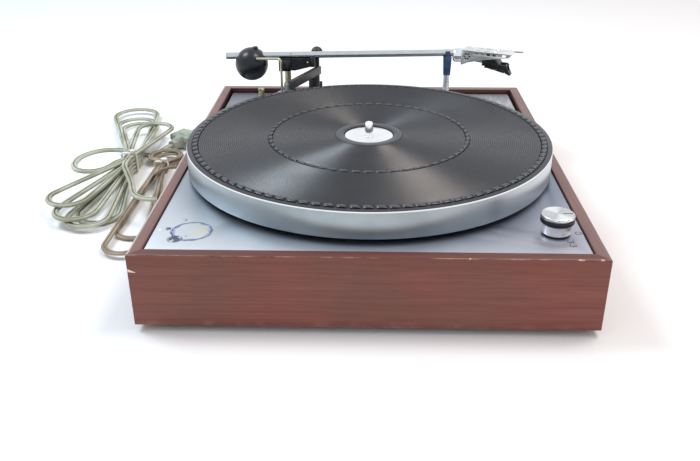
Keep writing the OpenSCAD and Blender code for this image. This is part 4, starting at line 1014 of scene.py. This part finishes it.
rim = turned([(4, WEB_LOW), (140, WEB_LOW), (142, WEB_LOW - 2), (142, RIM_LOW + 0.4),
              (142.4, RIM_LOW), (149.4, RIM_LOW), (PLATTER_R - 0.15, RIM_LOW + 0.3),
              (PLATTER_R, RIM_LOW + 0.9), (PLATTER_R, RIM_TOP - 1.1),
              (PLATTER_R - 0.35, RIM_TOP - 0.2), (PLATTER_R - 0.6, RIM_TOP), (142, RIM_TOP),
              (142, MAT_LOW), (4, MAT_LOW), (4, WEB_LOW)], 240)
piece("platter", rim_metal, moved(rim, PLATTER_X))


# The mat: black moulded rubber. Its face is cut with fine round-topped grooves between a rope
# border near the edge, a second one half-way in, and a smooth ring round the hub.
GROOVE_PITCH, GROOVE_DEEP, GROOVE_BASE = 1.6, 0.5, 83.3
# Each rope border: inner and outer radius, number of teeth, and the edges of its channel
ROPES = [(80.4, 83.4, 56, 79.7, 84.1), (141.2, 145.2, 100, 140.6, 146.0)]
TOOTH_FOOT, TOOTH_HIGH, TOOTH_FILL, TOOTH_SLANT = 82.8, 1.5, 0.84, 0.22


def grooves(inner_r, outer_r):
    count = round((outer_r - inner_r) / GROOVE_PITCH)
    step = (outer_r - inner_r) / count
    line = []
    for k in range(count):
        start = inner_r + k * step
        line += [(start + step * t, GROOVE_BASE + GROOVE_DEEP * h) for t, h in
                 ((0.0, 0.0), (0.18, 0.42), (0.36, 0.9), (0.5, 1.0), (0.64, 0.9), (0.82, 0.42))]
    return line + [(outer_r, GROOVE_BASE)]


def rope_border(inner_r, outer_r, teeth):
    """Slanting raised teeth round a ring."""
    whole, pitch = [], 2 * math.pi / teeth
    for k in range(teeth):
        rings = []
        for t, rise in ((-0.5, 0), (-0.42, 0.75), (-0.2, 1), (0.25, 1), (0.44, 0.8), (0.5, 0)):
            ring = []
            for u, h in ((0, 0), (0, 0.62), (0.14, 0.9), (0.5, 1), (0.86, 0.9), (1, 0.62), (1, 0)):
                r = inner_r + (outer_r - inner_r) * u
                a = pitch * k + pitch * TOOTH_FILL * (t + TOOTH_SLANT * (u - 0.5))
                ring.append((r * math.cos(a), r * math.sin(a), TOOTH_FOOT + TOOTH_HIGH * h * rise))
            rings.append(ring)
        whole.append(rings_to_shape(rings))
    return joined(*whole)


def mat_paint(place):
    dust = place.noise(40, 4).step(0.35, 0.75)
    fine = place.noise(2.5, 3).step(0.4, 0.7)
    z = place.along(2)
    # Painted shade: the rope channels and the gaps between the teeth are painted near black.
    painted_channel_shade = z.step(83.2 * MM, 82.95 * MM) * (from_point(place, (PLATTER_X, 0)) < ROPES[1][4] + 0.4)
    # Painted highlight: the tops of the teeth are painted lighter.
    painted_tooth_highlight = z.step(83.85 * MM, 84.15 * MM)
    return {"Base Color": coats("101219", (dust, "191b23"), (fine * 0.3, "2a2b32"),
                                (painted_tooth_highlight * 0.6, "41444d"), (painted_channel_shade, "040406")),
            "Roughness": dust * 0.08 + 0.28 + painted_channel_shade * 0.5, "Specular IOR Level": 0.62}


mat_rubber = material("mat_rubber", mat_paint)
(*_, near_in, near_out), (*_, far_in, far_out) = ROPES
profile = [(20.8, MAT_LOW), (20.8, 83.8), (21, MAT_TOP), (27.4, MAT_TOP), (27.8, 83.8),
           *grooves(28.0, near_in), (near_in + 0.3, 83.1), (near_out - 0.3, 83.1),
           *grooves(near_out, far_in), (far_in + 0.3, 82.95), (far_out - 0.3, 82.95),
           (far_out, 83.15), (far_out + 0.4, 83.1), (148.2, 82.85), (149.45, 82.75),
           (149.6, RIM_TOP), (141.8, RIM_TOP), (141.8, MAT_LOW), (20.8, MAT_LOW)]
mat = joined(turned(profile, 180), *[rope_border(*rope[:3]) for rope in ROPES])
piece("platter_mat", mat_rubber, moved(mat, PLATTER_X), crease=50)


# The hub and spindle: a polished steel disc that fills the mat's middle, dished a little with
# fine turning marks, and the bright spindle that a record drops over.
SPINDLE_R, SPINDLE_TIP, DISH_RINGS, DISH_PITCH = 3.57, 94.5, 18, 0.8
polished = material("polished_steel", metal("fdfdfd", "f4f5f6", 0.12, 2.0, 0.06))
dish = [(4, 82.6), (4.2, 82.75)]
for k in range(DISH_RINGS):
    dish += [(5 + k * DISH_PITCH, 82.66 + k * 0.012), (5.4 + k * DISH_PITCH, 82.74 + k * 0.012)]
hub = turned([(4, MAT_LOW), *dish, (19.6, 83.0), (20.0, 83.0), (20.4, 82.6), (20.4, MAT_LOW),
              (4, MAT_LOW)], 120)
piece("centre_hub", polished, moved(hub, PLATTER_X), crease=60)
spindle = turned([(0, 26.1), (4.6, 26.1), (5, 26.5), (5, 72), (4, 72), (4, 83), (3.17, 83),
                  (3.17, 83.4), (SPINDLE_R, 83.5), (SPINDLE_R, 92.8), (3.2, 93.6), (2.5, 94.3),
                  (2.0, SPINDLE_TIP), (0.9, SPINDLE_TIP), (0.7, 94.2), (0, 94.1)], 64)
piece("spindle_shaft", polished, moved(spindle, PLATTER_X), crease=40)


# The armboard: pressed board with an aluminium skin glued on, carried by the sub-chassis on four
# blocks. Its skin is painted lighter at the front end and darker towards the back, and the front
# end has bright streaks that are painted reflections.
ARM_TOP, SKIN_LOW, CORE_LOW = 55.5, 54.5, 43.5
ARMBOARD = (92, -148.5), (183.5, 148.5)


def chip_paint(place):
    flakes = place.noise(1.8, 4, 0.7).step(0.35, 0.65)
    return {"Base Color": coats("4a3b32", (flakes, "2d2521")), "Roughness": 0.8,
            "Height": flakes * 0.1}


def skin_paint(place):
    brushed = place.noise(0.35, 3, 0.6, (1, 40, 1))
    back = place.along(1).step(-0.13, -0.02)
    # Painted reflection: bright streaks along the skin's front part.
    painted_streak_reflection = place.noise(6, 5, 0.7, (3, 0.5, 1)).step(0.44, 0.66) * (1 - back)
    return {"Base Color": coats("b0b2b5", (back, "979ba2"), (painted_streak_reflection * 0.55, "ecedec")),
            "Metallic": 1.0, "Roughness": brushed * 0.12 + 0.4, "Height": brushed * 0.006}


(x0, y0), (x1, y1) = ARMBOARD
chipboard = material("chipboard", chip_paint)
legs = [moved(turned([(0, 38.5), (6, 38.5), (6, 44), (0, 44)], 32), x, y)
        for x in (x0 + 13, x1 - 12) for y in (-60, 60)]
core = boxed((x0, y0, CORE_LOW), (x1, y1, SKIN_LOW), 0.2, 1)
piece("armboard", chipboard, joined(core, *legs))
piece("armboard_skin", material("skin_metal", skin_paint),
      sheet_shape(box_outline(*ARMBOARD, 1.5), [], SKIN_LOW, ARM_TOP, 0.2))


# The arm's foot: a turned flange on the armboard with three screws, the brass pillar in it, and
# the pin on which the yoke turns.
ARM_X, PIVOT_Y, YOKE_Z, TUBE_Z = 165, 86, 86.7, 101.9


def raised(profile, base=ARM_TOP):
    """A profile whose heights count from a base."""
    return [(r, base + z) for r, z in profile]


flange = turned(raised([(3.4, 0), (15.6, 0), (16, 0.4), (16, 2.1), (15.6, 2.5), (15.2, 2.5),
                        (12.9, 5.6), (12.5, 6), (5.1, 6), (4.75, 6.4), (4.75, 16.4), (4.4, 16.8),
                        (3.4, 16.8), (3.4, 0)]), 64)
heads = [moved(turned([(0, 61.3), (1.5, 61.3), (1.7, 61.5), (1.7, 62.2), (1.3, 62.6), (0, 62.6)],
                      24), 8.6 * math.cos(a), 8.6 * math.sin(a)) for a in (0.5, 2.6, 4.7)]
piece("arm_base", cast, moved(joined(flange, *heads), ARM_X, PIVOT_Y))
pillar = turned([(0, 59.5), (3.4, 59.5), (3.4, 74.6), (3.15, 74.7), (3.15, 75.1), (3.4, 75.2),
                 (3.4, 86.2), (3.0, 86.6), (2, 86.6), (2, 88.7), (1.8, 88.9), (0, 88.9)], 48)
piece("arm_pillar", brass, moved(pillar, ARM_X, PIVOT_Y))


# The yoke: a black fork that turns on the pillar. Two pointed steel screws with locknuts pass
# through its cheeks and carry the arm, so that it can rise and fall.
YOKE_IN, YOKE_OUT, YOKE_Y0, YOKE_Y1, AXIS_Z, CHEEK_TOP = 4.9, 8, 82.3, 94.5, 93, 97.9
black_metal = material("black_metal", mottled(
    "202226", "33363b", 6, 4, (0.4, 0.75), 0.33, bump=(0.5, 0.02),
    more={"Metallic": 0.35, "Coat Weight": 0.3, "Coat Roughness": 0.15}))
cheeks = []
for side in (-1, 1):
    low, high = sorted((side * YOKE_IN, side * YOKE_OUT))
    cheeks.append(boxed((low, YOKE_Y0, YOKE_Z), (high, YOKE_Y1, CHEEK_TOP), 0.5, 2))
base = boxed((-YOKE_OUT, YOKE_Y0, YOKE_Z), (YOKE_OUT, YOKE_Y1, YOKE_Z + 2.5), 0.4, 2)
piece("arm_yoke", black_metal, moved(joined(base, *cheeks), ARM_X))
pivots = []
for side in (-1, 1):
    profile = [(0, 2.0), (0.5, 2.0), (1.2, 3.0), (1.2, 8.02), (2.1, 8.02), (2.2, 8.15), (2.2, 9.05),
               (2.0, 9.2), (0.9, 9.2), (0.8, 8.9), (0, 8.9)]
    screw = turned([(r, h * side) for r, h in profile], 32)
    pivots.append(placed(screw, (ARM_X, PIVOT_Y, AXIS_Z), "X"))
piece("pivot_screws", black_metal, joined(*pivots))


# The arm: a straight chromed tube over the bearing carrier, a short stub behind it for the
# weight, and a polished collar in front that takes the headshell.
ARM_TILT, TUBE_R, STUB_END, SHELL_TURN = math.radians(1.06), 3.4, 63.9, -23
SHELL_Y, SHELL_TOP, COLLAR_R, COLLAR_DROP = -97, 110.2, 7, 7.6
ARM_FRAME = (Matrix.Translation((ARM_X, PIVOT_Y, TUBE_Z)) @ Matrix.Rotation(-ARM_TILT, 4, "X"))
chrome = material("chrome", metal("e6e9eb", "dfe3e6", 0.12, 1.0, 0.06))


def tube_paint(place):
    """Chrome that is bright on top, with painted shade darkening it below."""
    paint = metal("c9cdce", "c1c6c8", 0.13, 1.0, 0.06)(place)
    y, z = (place.along(k) for k in (1, 2))
    # Painted shade along the underside of the tube and stub.
    painted_shade = (z + (y - PIVOT_Y * MM) * math.tan(ARM_TILT) - TUBE_Z * MM).step(-0.6 * MM, -2.4 * MM)
    paint["Base Color"] = (painted_shade * 0.85).tint(paint["Base Color"], tone("474c55"))
    return paint


tube_chrome = material("tube_chrome", tube_paint)
tube = turned([(0, -179), (3.0, -179), (TUBE_R, -178.6), (TUBE_R, -4.6), (3.1, -4.3), (3.1, -4),
               (0, -4)])
piece("arm_tube", tube_chrome, placed(tube), at=ARM_FRAME)
stub = turned([(0, -3.9), (3.1, -3.9), (3.1, -3.6), (TUBE_R, -3.3), (TUBE_R, 61.6), (3.15, 61.7),
               (3.15, 62.1), (TUBE_R, 62.2), (TUBE_R, 63.5), (3.0, STUB_END), (2.2, STUB_END),
               (2.0, 63.2), (0, 63.2)])
piece("rear_stub", tube_chrome, placed(stub), at=ARM_FRAME)
ring = turned([(0, -3.95), (3.35, -3.95), (3.45, -3.85), (3.45, -3.1), (3.35, -3.0), (0, -3.0)])
piece("joint_ring", brass, placed(ring), "rear_stub", at=ARM_FRAME)
collar = turned([(3.3, -2.5), (COLLAR_R - 0.5, -2.5), (COLLAR_R, -2), (COLLAR_R, 1.8),
                 (COLLAR_R - 0.4, 2.1), (COLLAR_R - 0.4, 2.7), (COLLAR_R, 3), (COLLAR_R, 8.8),
                 (COLLAR_R - 0.9, 11), (COLLAR_R - 2, 11.8), (3.3, 11.8), (3.3, -2.5)])
collar = placed(collar, (ARM_X, SHELL_Y, SHELL_TOP - COLLAR_DROP))
facing = Matrix.Rotation(math.radians(SHELL_TURN), 3, "Z") @ Vector((0, 1, 0))
bmesh.ops.bisect_plane(collar, geom=collar.verts[:] + collar.edges[:] + collar.faces[:],
                       plane_co=Vector((ARM_X, SHELL_Y, SHELL_TOP)) + facing * 0.6, plane_no=facing,
                       clear_inner=True)
bmesh.ops.holes_fill(collar, edges=collar.edges)
piece("shell_collar", chrome, collar)


# The black carrier under the tube: a saddle on the pivots, then a wedge that runs forward to a
# flat pad on which the lift bar presses. A small steel pin holds the pad.
BLOCK_HALF, WEDGE_NOSE = 4.6, -23.3
carrier = material("carrier_plastic", soft_black("2b2d30", "17191b", 0.35))
side_view = [(5, -3.2), (5, -11.0), (4.6, -11.4), (-3.5, -11.4), (-3.9, -11.8), (-3.9, -15.2),
             (-8.5, -15.2), (WEDGE_NOSE, -11.5), (WEDGE_NOSE, -3.2)]
wedge = rings_to_shape([[(x, y * (1 if abs(x) < 4.5 else 0.985), z) for y, z in side_view]
                        for x in (-BLOCK_HALF, -BLOCK_HALF + 0.35, BLOCK_HALF - 0.35, BLOCK_HALF)])
saddle = boxed((-BLOCK_HALF + 0.5, -23, -4.2), (BLOCK_HALF - 0.5, 4.6, -2.6), 0.4, 1)
pad = boxed((-2.6, -28.5, -12.2), (2.6, -23.2, -3.6), 0.6, 2)
piece("arm_block", carrier,
      moved(joined(wedge, saddle, pad), ARM_X, PIVOT_Y, TUBE_Z), crease=25)
piece("pad_pin", polished, moved(rod(0.9, (-5.4, 0, 0), (5.4, 0, 0), 0.25),
                                 ARM_X, PIVOT_Y - 21, TUBE_Z - 6.5), "arm_block")


# The counterweight: a heavy ball of lacquered steel, bored off centre for the stub, with a
# lacquered lock nub on top. It slides along the stub to balance the arm.
BALL_R, BALL_AT = 17, (0, 37.7, -8.7)
BORE_R = TUBE_R + 0.08
lacquer = material("blue_black_lacquer", mottled(
    "070d1a", "0f1726", 9, 4, (0.4, 0.75), 0.34, (3, 0.08), (0.8, 0.01),
    {"Coat Weight": 0.3, "Coat Roughness": 0.16, "Specular IOR Level": 0.32}))


def bored_ball(radius, offset, bore_r, stacks=36, sides=64):
    """A ball with a round bore along Y whose middle lies above the ball's middle by an offset."""
    ball = bmesh.new()
    bmesh.ops.create_uvsphere(ball, u_segments=sides, v_segments=stacks, radius=radius)
    cutter = placed(turned([(0, -radius - 5), (bore_r, -radius - 5), (bore_r, radius + 5),
                            (0, radius + 5)], 40), (0, 0, offset))
    made = []
    for name, shape in (("ball", ball), ("cutter", cutter)):
        mesh = bpy.data.meshes.new(name)
        shape.to_mesh(mesh)
        shape.free()
        made.append(bpy.data.objects.new(name, mesh))
        scene.collection.objects.link(made[-1])
    cut = made[0].modifiers.new("bore", "BOOLEAN")
    cut.operation, cut.object, cut.solver = "DIFFERENCE", made[1], "EXACT"
    bpy.context.view_layer.update()
    result = bmesh.new()
    result.from_mesh(made[0].evaluated_get(bpy.context.evaluated_depsgraph_get()).to_mesh())
    for thing in made:
        bpy.data.objects.remove(thing)
    return result


ball = moved(bored_ball(BALL_R, -BALL_AT[2], BORE_R), *BALL_AT)
nub = moved(turned([(0, 0), (3.2, 0), (3.1, 2.2), (2.4, 2.9), (1.2, 3.2), (0, 3.3)], 32),
            0, BALL_AT[1] - 4.6, BALL_AT[2] + BALL_R - 2)
piece("counterweight", lacquer, joined(ball, nub), at=ARM_FRAME, crease=40)


# The headshell: pressed from thin aluminium, with slots all round to save weight, open at the
# front. A rosette of cut-outs marks each side near the collar, and it is lacquered pale silver.
SHELL_LONG, SHELL_WIDE, SHELL_SKIN, SHELL_REAR = 52, 18, 1.0, 15.4
ROSETTE, CONTACT_DROP = (5.6, -6.4), 12.2
# Each wire behind the cartridge: where it lies across, how far it sags, and its colour
WIRES = [(-3, 5.4, "b23a2e"), (-1, 7.0, "d9d6cc"), (1, 7.0, "2f6a4c"), (3, 5.4, "34548e")]
SHELL_FRAME = (Matrix.Translation((ARM_X, SHELL_Y, SHELL_TOP))
               @ Matrix.Rotation(math.radians(SHELL_TURN), 4, "Z"))
shell_silver = material("shell_silver", metal("f2f2ef", "dcddda", 0.26, 2.0, 0.1))
half = SHELL_WIDE / 2
top = sheet_shape(
    [(-half, 0), (-half, -45), (-half + 1, -47), (-4.5, -51.4), (-3.5, -SHELL_LONG),
     (3.5, -SHELL_LONG), (4.5, -51.4), (half - 1, -47), (half, -45), (half, 0)],
    [box_outline((s * 5 - 1.2, -19 - 9 * k), (s * 5 + 1.2, -13 - 9 * k), 1.15)
     for s in (-1, 1) for k in range(3)], -1.2, 0, 0.25)


def side_plate(points, v0, v1, edge=0.25, holes=()):
    """A plate in the headshell's side view: first value forwards, second upwards."""
    shape = sheet_shape(points, holes, v0, v1, min(edge, (v1 - v0) * 0.3))
    shape.transform(Matrix(((0, 0, 1, 0), (-1, 0, 0, 0), (0, 1, 0, 0), (0, 0, 0, 1))))
    return shape


outline = [(0.3, -0.1), (0.3, -SHELL_REAR + 0.5), (0.8, -SHELL_REAR + 0.2), (6.8, -12.4),
           (21.8, -8.5), (49, -3.7), (51.8, -0.5), (51.5, -0.1)]
cuts = [box_outline((u, -3.6), (u + 3.6, -1.3), 0.6) for u in (14, 20, 26, 32, 42)]
for a in (math.pi / 3 * k for k in range(6)):
    cuts.append([(ROSETTE[0] + r * math.cos(a + t), ROSETTE[1] + r * math.sin(a + t))
                 for r, t in ((3.5, -0.26), (3.6, 0), (3.5, 0.26), (1.5, 0.3), (1.5, -0.3))])
walls = [side_plate(outline, v, v + SHELL_SKIN, 0.2, cuts) for v in (-half, half - SHELL_SKIN)]
rear = boxed((-half + 0.1, -0.9, -SHELL_REAR), (half - 0.1, 0.6, -0.1), 0.3)
sockets = [placed(turned([(0, 0), (4.4, 0), (4.4, 0.6), (0, 0.6)], 32),
                  (v, -ROSETTE[0], ROSETTE[1]), "X")
           for v in (half - SHELL_SKIN - 0.65, SHELL_SKIN - half + 0.05)]
piece("shell_sockets", plastic_black, joined(*sockets), "headshell", at=SHELL_FRAME)
piece("headshell", shell_silver, joined(top, *walls, rear), at=SHELL_FRAME)

lift = sheet_shape([(-0.3, 0), (-0.3, -6), (1.9, -21.8), (3, -22.4), (4.3, -22.4), (5, -20.8),
                    (4.5, -2), (3.4, -0.4)], [], 0, 1.2, 0.35)
piece("finger_lift", cast, moved(lift, half, -36, -2.4), at=SHELL_FRAME)

for k, (v, sag, code) in enumerate(WIRES):
    route = smooth_route([(v * 0.8, -0.8, -7.2), (v * 0.9, -6, -sag - 1.4),
                          (v * 1.2, -13, -sag - 5.4), (v, -18, -CONTACT_DROP),
                          (v, -20.8, -CONTACT_DROP)], 1.0)
    bright, dark = tone(code), tuple(c * 0.7 for c in tone(code))
    sleeve = material(f"wire_sleeve_{k + 1}", lambda place: {
        "Base Color": place.noise(3, 2).step(0.3, 0.8).tint(bright, dark), "Roughness": 0.4})
    piece(f"shell_wire_{k + 1}", sleeve,
          swept(route, circle(0.42, 8), False), "headshell", at=SHELL_FRAME)


# The cartridge: a black moulded body on two screws with four contact pins behind, the slip-in
# stylus under it, and a hinged guard that swings down in front of the tip.
CART_LOW, GUARD_U, GUARD_Z = -16.5, 44.8, -13.7
cart_black = material("cartridge_black", soft_black("1f2022", "111213", 0.3))
body = side_plate([(24, -1.2), (24, CART_LOW), (42, CART_LOW), (33.5, -5), (33.5, -1.2)],
                  -7.5, 7.5, 0.5)
back = side_plate([(20.5, -9.2), (20.5, -15.2), (24.2, -15.2), (24.2, -9.2)], -5, 5, 0.4)
cheeks = [side_plate([(38, -12), (38, CART_LOW), (GUARD_U + 1.2, CART_LOW), (GUARD_U + 2, GUARD_Z),
                      (GUARD_U, -12)], s * 5.3 - 0.8, s * 5.3 + 0.8) for s in (-1, 1)]
piece("cartridge", cart_black, joined(body, back, *cheeks), at=SHELL_FRAME)
contacts = [rod(0.55, (v, -20.8, -CONTACT_DROP), (v, -17.6, -CONTACT_DROP), 0.15, 16)
            for v, *_ in WIRES]
screws = [moved(turned([(0, 0.0), (1.5, 0.0), (1.6, 0.15), (1.6, 0.75), (1.3, 1.1), (0, 1.1)], 24),
                s * 5, -34, 0) for s in (-1, 1)]
piece("cartridge_contacts", brass, joined(*contacts), "cartridge", at=SHELL_FRAME)
piece("cartridge_screws", polished,
      moved(joined(*screws), 0, 0, -0.9), "cartridge", at=SHELL_FRAME)

grip = side_plate([(24.5, CART_LOW), (44, CART_LOW), (44, -20.9), (43.2, -20.9), (24.5, -17.1)],
                  -4.2, 4.2, 0.4)
piece("stylus", material("stylus_black", soft_black("303134", "1b1c1e", 0.3)),
      grip, at=SHELL_FRAME)
tip = turned([(0.12, -22.1), (0.15, -22.0), (0.3, -20.8), (0.3, -20.7)], 12)
cantilever = joined(rod(0.32, (0, -43, -20.05), (0, -47.2, -20.85), 0.05, 12),
                    moved(tip, 0, -46.7))
piece("stylus_cantilever", polished, cantilever, "stylus", at=SHELL_FRAME)

u, z = GUARD_U, GUARD_Z
side_view = [(u - 0.8, z + 1), (u + 1.4, z + 0.6), (u + 2.6, z - 3), (u + 5.4, z - 8.4),
             (u + 5.2, z - 9.2), (u, z - 7.2)]
arms = [side_plate(side_view, s * 3.6 - 0.6, s * 3.6 + 0.6) for s in (-1, 1)]
front = side_plate([(u + 3.2, z - 4.1), (u + 5.4, z - 8.4), (u + 5.2, z - 9.2),
                    (u + 3.6, z - 8.7)], -4.2, 4.2)
mark = boxed((-4.35, -36, -18.6), (-4.2, -30, -18.0), 0.05, 1)
hinge = rod(1.0, (-6, -u, z), (6, -u, z), 0.2, 24)
piece("stylus_mark", tie_white, mark, "stylus", at=SHELL_FRAME)
piece("stylus_guard", cart_black, joined(*arms, front, hinge), at=SHELL_FRAME)


# The bias rod: brass wire bent over at the top, from which a small weight would hang. Beside it
# stands a short brass post.
BIAS_X, BIAS_Y, BIAS_TOP, BEND_R = ARM_X - 17, PIVOT_Y + 5, TUBE_Z + 0.3, 4
bend = [(BIAS_X, BIAS_Y + BEND_R - BEND_R * math.cos(a), BIAS_TOP - BEND_R + BEND_R * math.sin(a))
        for a in (math.radians(15 * k) for k in range(7))]
route = smooth_route([(BIAS_X, BIAS_Y, ARM_TOP), (BIAS_X, BIAS_Y, BIAS_TOP - 6), *bend,
                      (BIAS_X, BIAS_Y + 6, BIAS_TOP), (BIAS_X, 115.6, BIAS_TOP),
                      (BIAS_X, 116, BIAS_TOP)], 1.5)
wire = swept(route, lambda i: circle(0.9 if i == len(route) - 1 else 1.2, 20), False)
collar = turned(raised([(1.15, 0), (2.2, 0), (2.4, 0.3), (2.4, 3.2), (2.1, 3.5), (1.15, 3.5)]), 32)
bias_brass = material("bias_brass", metal("d3ccb4", "b9b094", 0.22, 2.0, 0.08))
piece("bias_rod", bias_brass, joined(wire, moved(collar, BIAS_X, BIAS_Y)))
post = turned(raised([(0, 0), (3.4, 0), (3.4, 1.2), (3.1, 1.4), (3.1, 1.8), (3.4, 2), (3.4, 8),
                      (2.6, 9), (0, 9)]))
piece("brass_post", brass, moved(post, ARM_X + 6, PIVOT_Y + 30))


# The arm rest: a chromed, finely grooved post with a blue plastic cradle pressed on. Two springy
# prongs on the cradle snap round the tube.
REST_X, REST_Y, POST_TOP, CRADLE_TOP = 165, -79.8, 82.4, 101.28
RING_PITCH, PRONG_HALF = 1.7, 2.5
rings = raised([(0, 0), (4.2, 0), (4.4, 0.2), (4.4, 1.6), (3.4, 1.9)])
z = ARM_TOP + 3
while z < POST_TOP - 2:
    rings += raised([(3.4, 0), (3.4, 1.1), (3.15, 1.25), (3.15, 1.55), (3.4, RING_PITCH)], z)
    z += RING_PITCH
piece("rest_post", mirror, moved(turned([*rings, (3.4, POST_TOP), (0, POST_TOP)]),
                                 REST_X, REST_Y))
blue = material("blue_plastic", mottled("2f4a66", "425f7c", 6, 3, (0.4, 0.75), 0.3,
                                        bump=(0.6, 0.02)))
front_view = [(-3.45, POST_TOP), (3.45, POST_TOP), (4.15, POST_TOP + 15), (4.15, CRADLE_TOP),
              (-4.15, CRADLE_TOP), (-4.15, POST_TOP + 15)]
cradle = sheet_shape(front_view, [], -4.6, 4.6, 0.6)
cradle.transform(Matrix(((0, 0, 1, REST_X), (1, 0, 0, REST_Y), (0, 1, 0, 0), (0, 0, 0, 1))))
piece("rest_cradle", blue, cradle)
prongs = []
for s in (-1, 1):
    rows = []
    for out, up, thin in ((4.15, -0.2, 0.43), (4.15, 2, 0.43), (4.15, 4.2, 0.43), (4.1, 5.4, 0.43),
                          (4.2, 6.25, 0.25)):
        low = [(-thin, -PRONG_HALF + 0.2), (-thin + 0.1, -PRONG_HALF),
               (thin - 0.1, -PRONG_HALF), (thin, -PRONG_HALF + 0.2)]
        rows.append([(s * out + x, y, CRADLE_TOP + up) for x, y in
                     low + [(x, -y) for x, y in low[::-1]]])
    prongs.append(rings_to_shape(rows))
piece("rest_clip", blue, moved(joined(*prongs), REST_X, REST_Y))


# The lift: a damped cylinder on a foot with two cheeks for its lever, a sleeve that carries the
# sloping bar under the arm, and the lever with its domed black button.
LIFT_Y, LEVER_X, LEVER_Y, LEVER_Z, PAD_Z = 58.6, 176, 56, 66, 89.7
drum = turned(raised([(0, 0), (6.7, 0), (7, 0.3), (7, 2.1), (6.6, 2.5), (4.5, 2.5), (4.5, 17.9),
                      (4.2, 18.2), (0, 18.2)]))
foot = boxed((ARM_X, LEVER_Y - 5, ARM_TOP), (LEVER_X + 4.3, LEVER_Y + 5, ARM_TOP + 2.5), 0.3)
cheeks = [boxed((x, LEVER_Y - 5, ARM_TOP + 1), (x + 1.6, LEVER_Y + 5, LEVER_Z + 4), 0.4, 2)
          for x in (LEVER_X - 4.3, LEVER_X + 2.7)]
axle = rod(1.5, (LEVER_X - 4.5, LEVER_Y, LEVER_Z), (LEVER_X + 4.5, LEVER_Y, LEVER_Z), 0.3)
piece("lift_cylinder", plastic_black,
      joined(moved(drum, ARM_X, LIFT_Y), foot, *cheeks, axle))

bar_low, bar_high = ARM_TOP + 25.5, PAD_Z - 0.3
start, end = Vector((ARM_X + 5, LIFT_Y - 5.4, 0)), Vector((ARM_X - 53, LIFT_Y + 19.9, 0))
sleeve = moved(turned([(4.55, 66), (5.6, 66), (5.85, 66.3), (5.85, 80.7), (5.6, 81), (0, 81),
                       (0, 80), (4.55, 80), (4.55, 66)]), ARM_X, LIFT_Y)
bar = boxed((0, -2.25, bar_low), ((end - start).length, 2.25, bar_high), 0.5, 2)
bar = moved(bar, start.x, start.y, 0, math.degrees(math.atan2(end.y - start.y, end.x - start.x)))
bar_brown = material("lift_bar_plastic", soft_black("3c3835", "262322", 0.35))
piece("lift_bar", bar_brown, joined(sleeve, bar))

hub = placed(turned([(1.55, -2.4), (3.9, -2.4), (4.2, -2.1), (4.2, 2.1), (3.9, 2.4), (1.55, 2.4),
                     (1.55, -2.4)]), axis="X")
stem = turned([(0, 3.6), (2.4, 3.6), (2.4, 30.4), (2.2, 32), (0, 32)], 32)
button = turned([(0, 31.8), (5.0, 31.8), *arc(0, 36, (6.2, 6.2), -28.8, 13.2, 10), (0, 42.2)])
piece("lift_lever", plastic_black,
      moved(joined(hub, stem, button), LEVER_X, LEVER_Y, LEVER_Z))
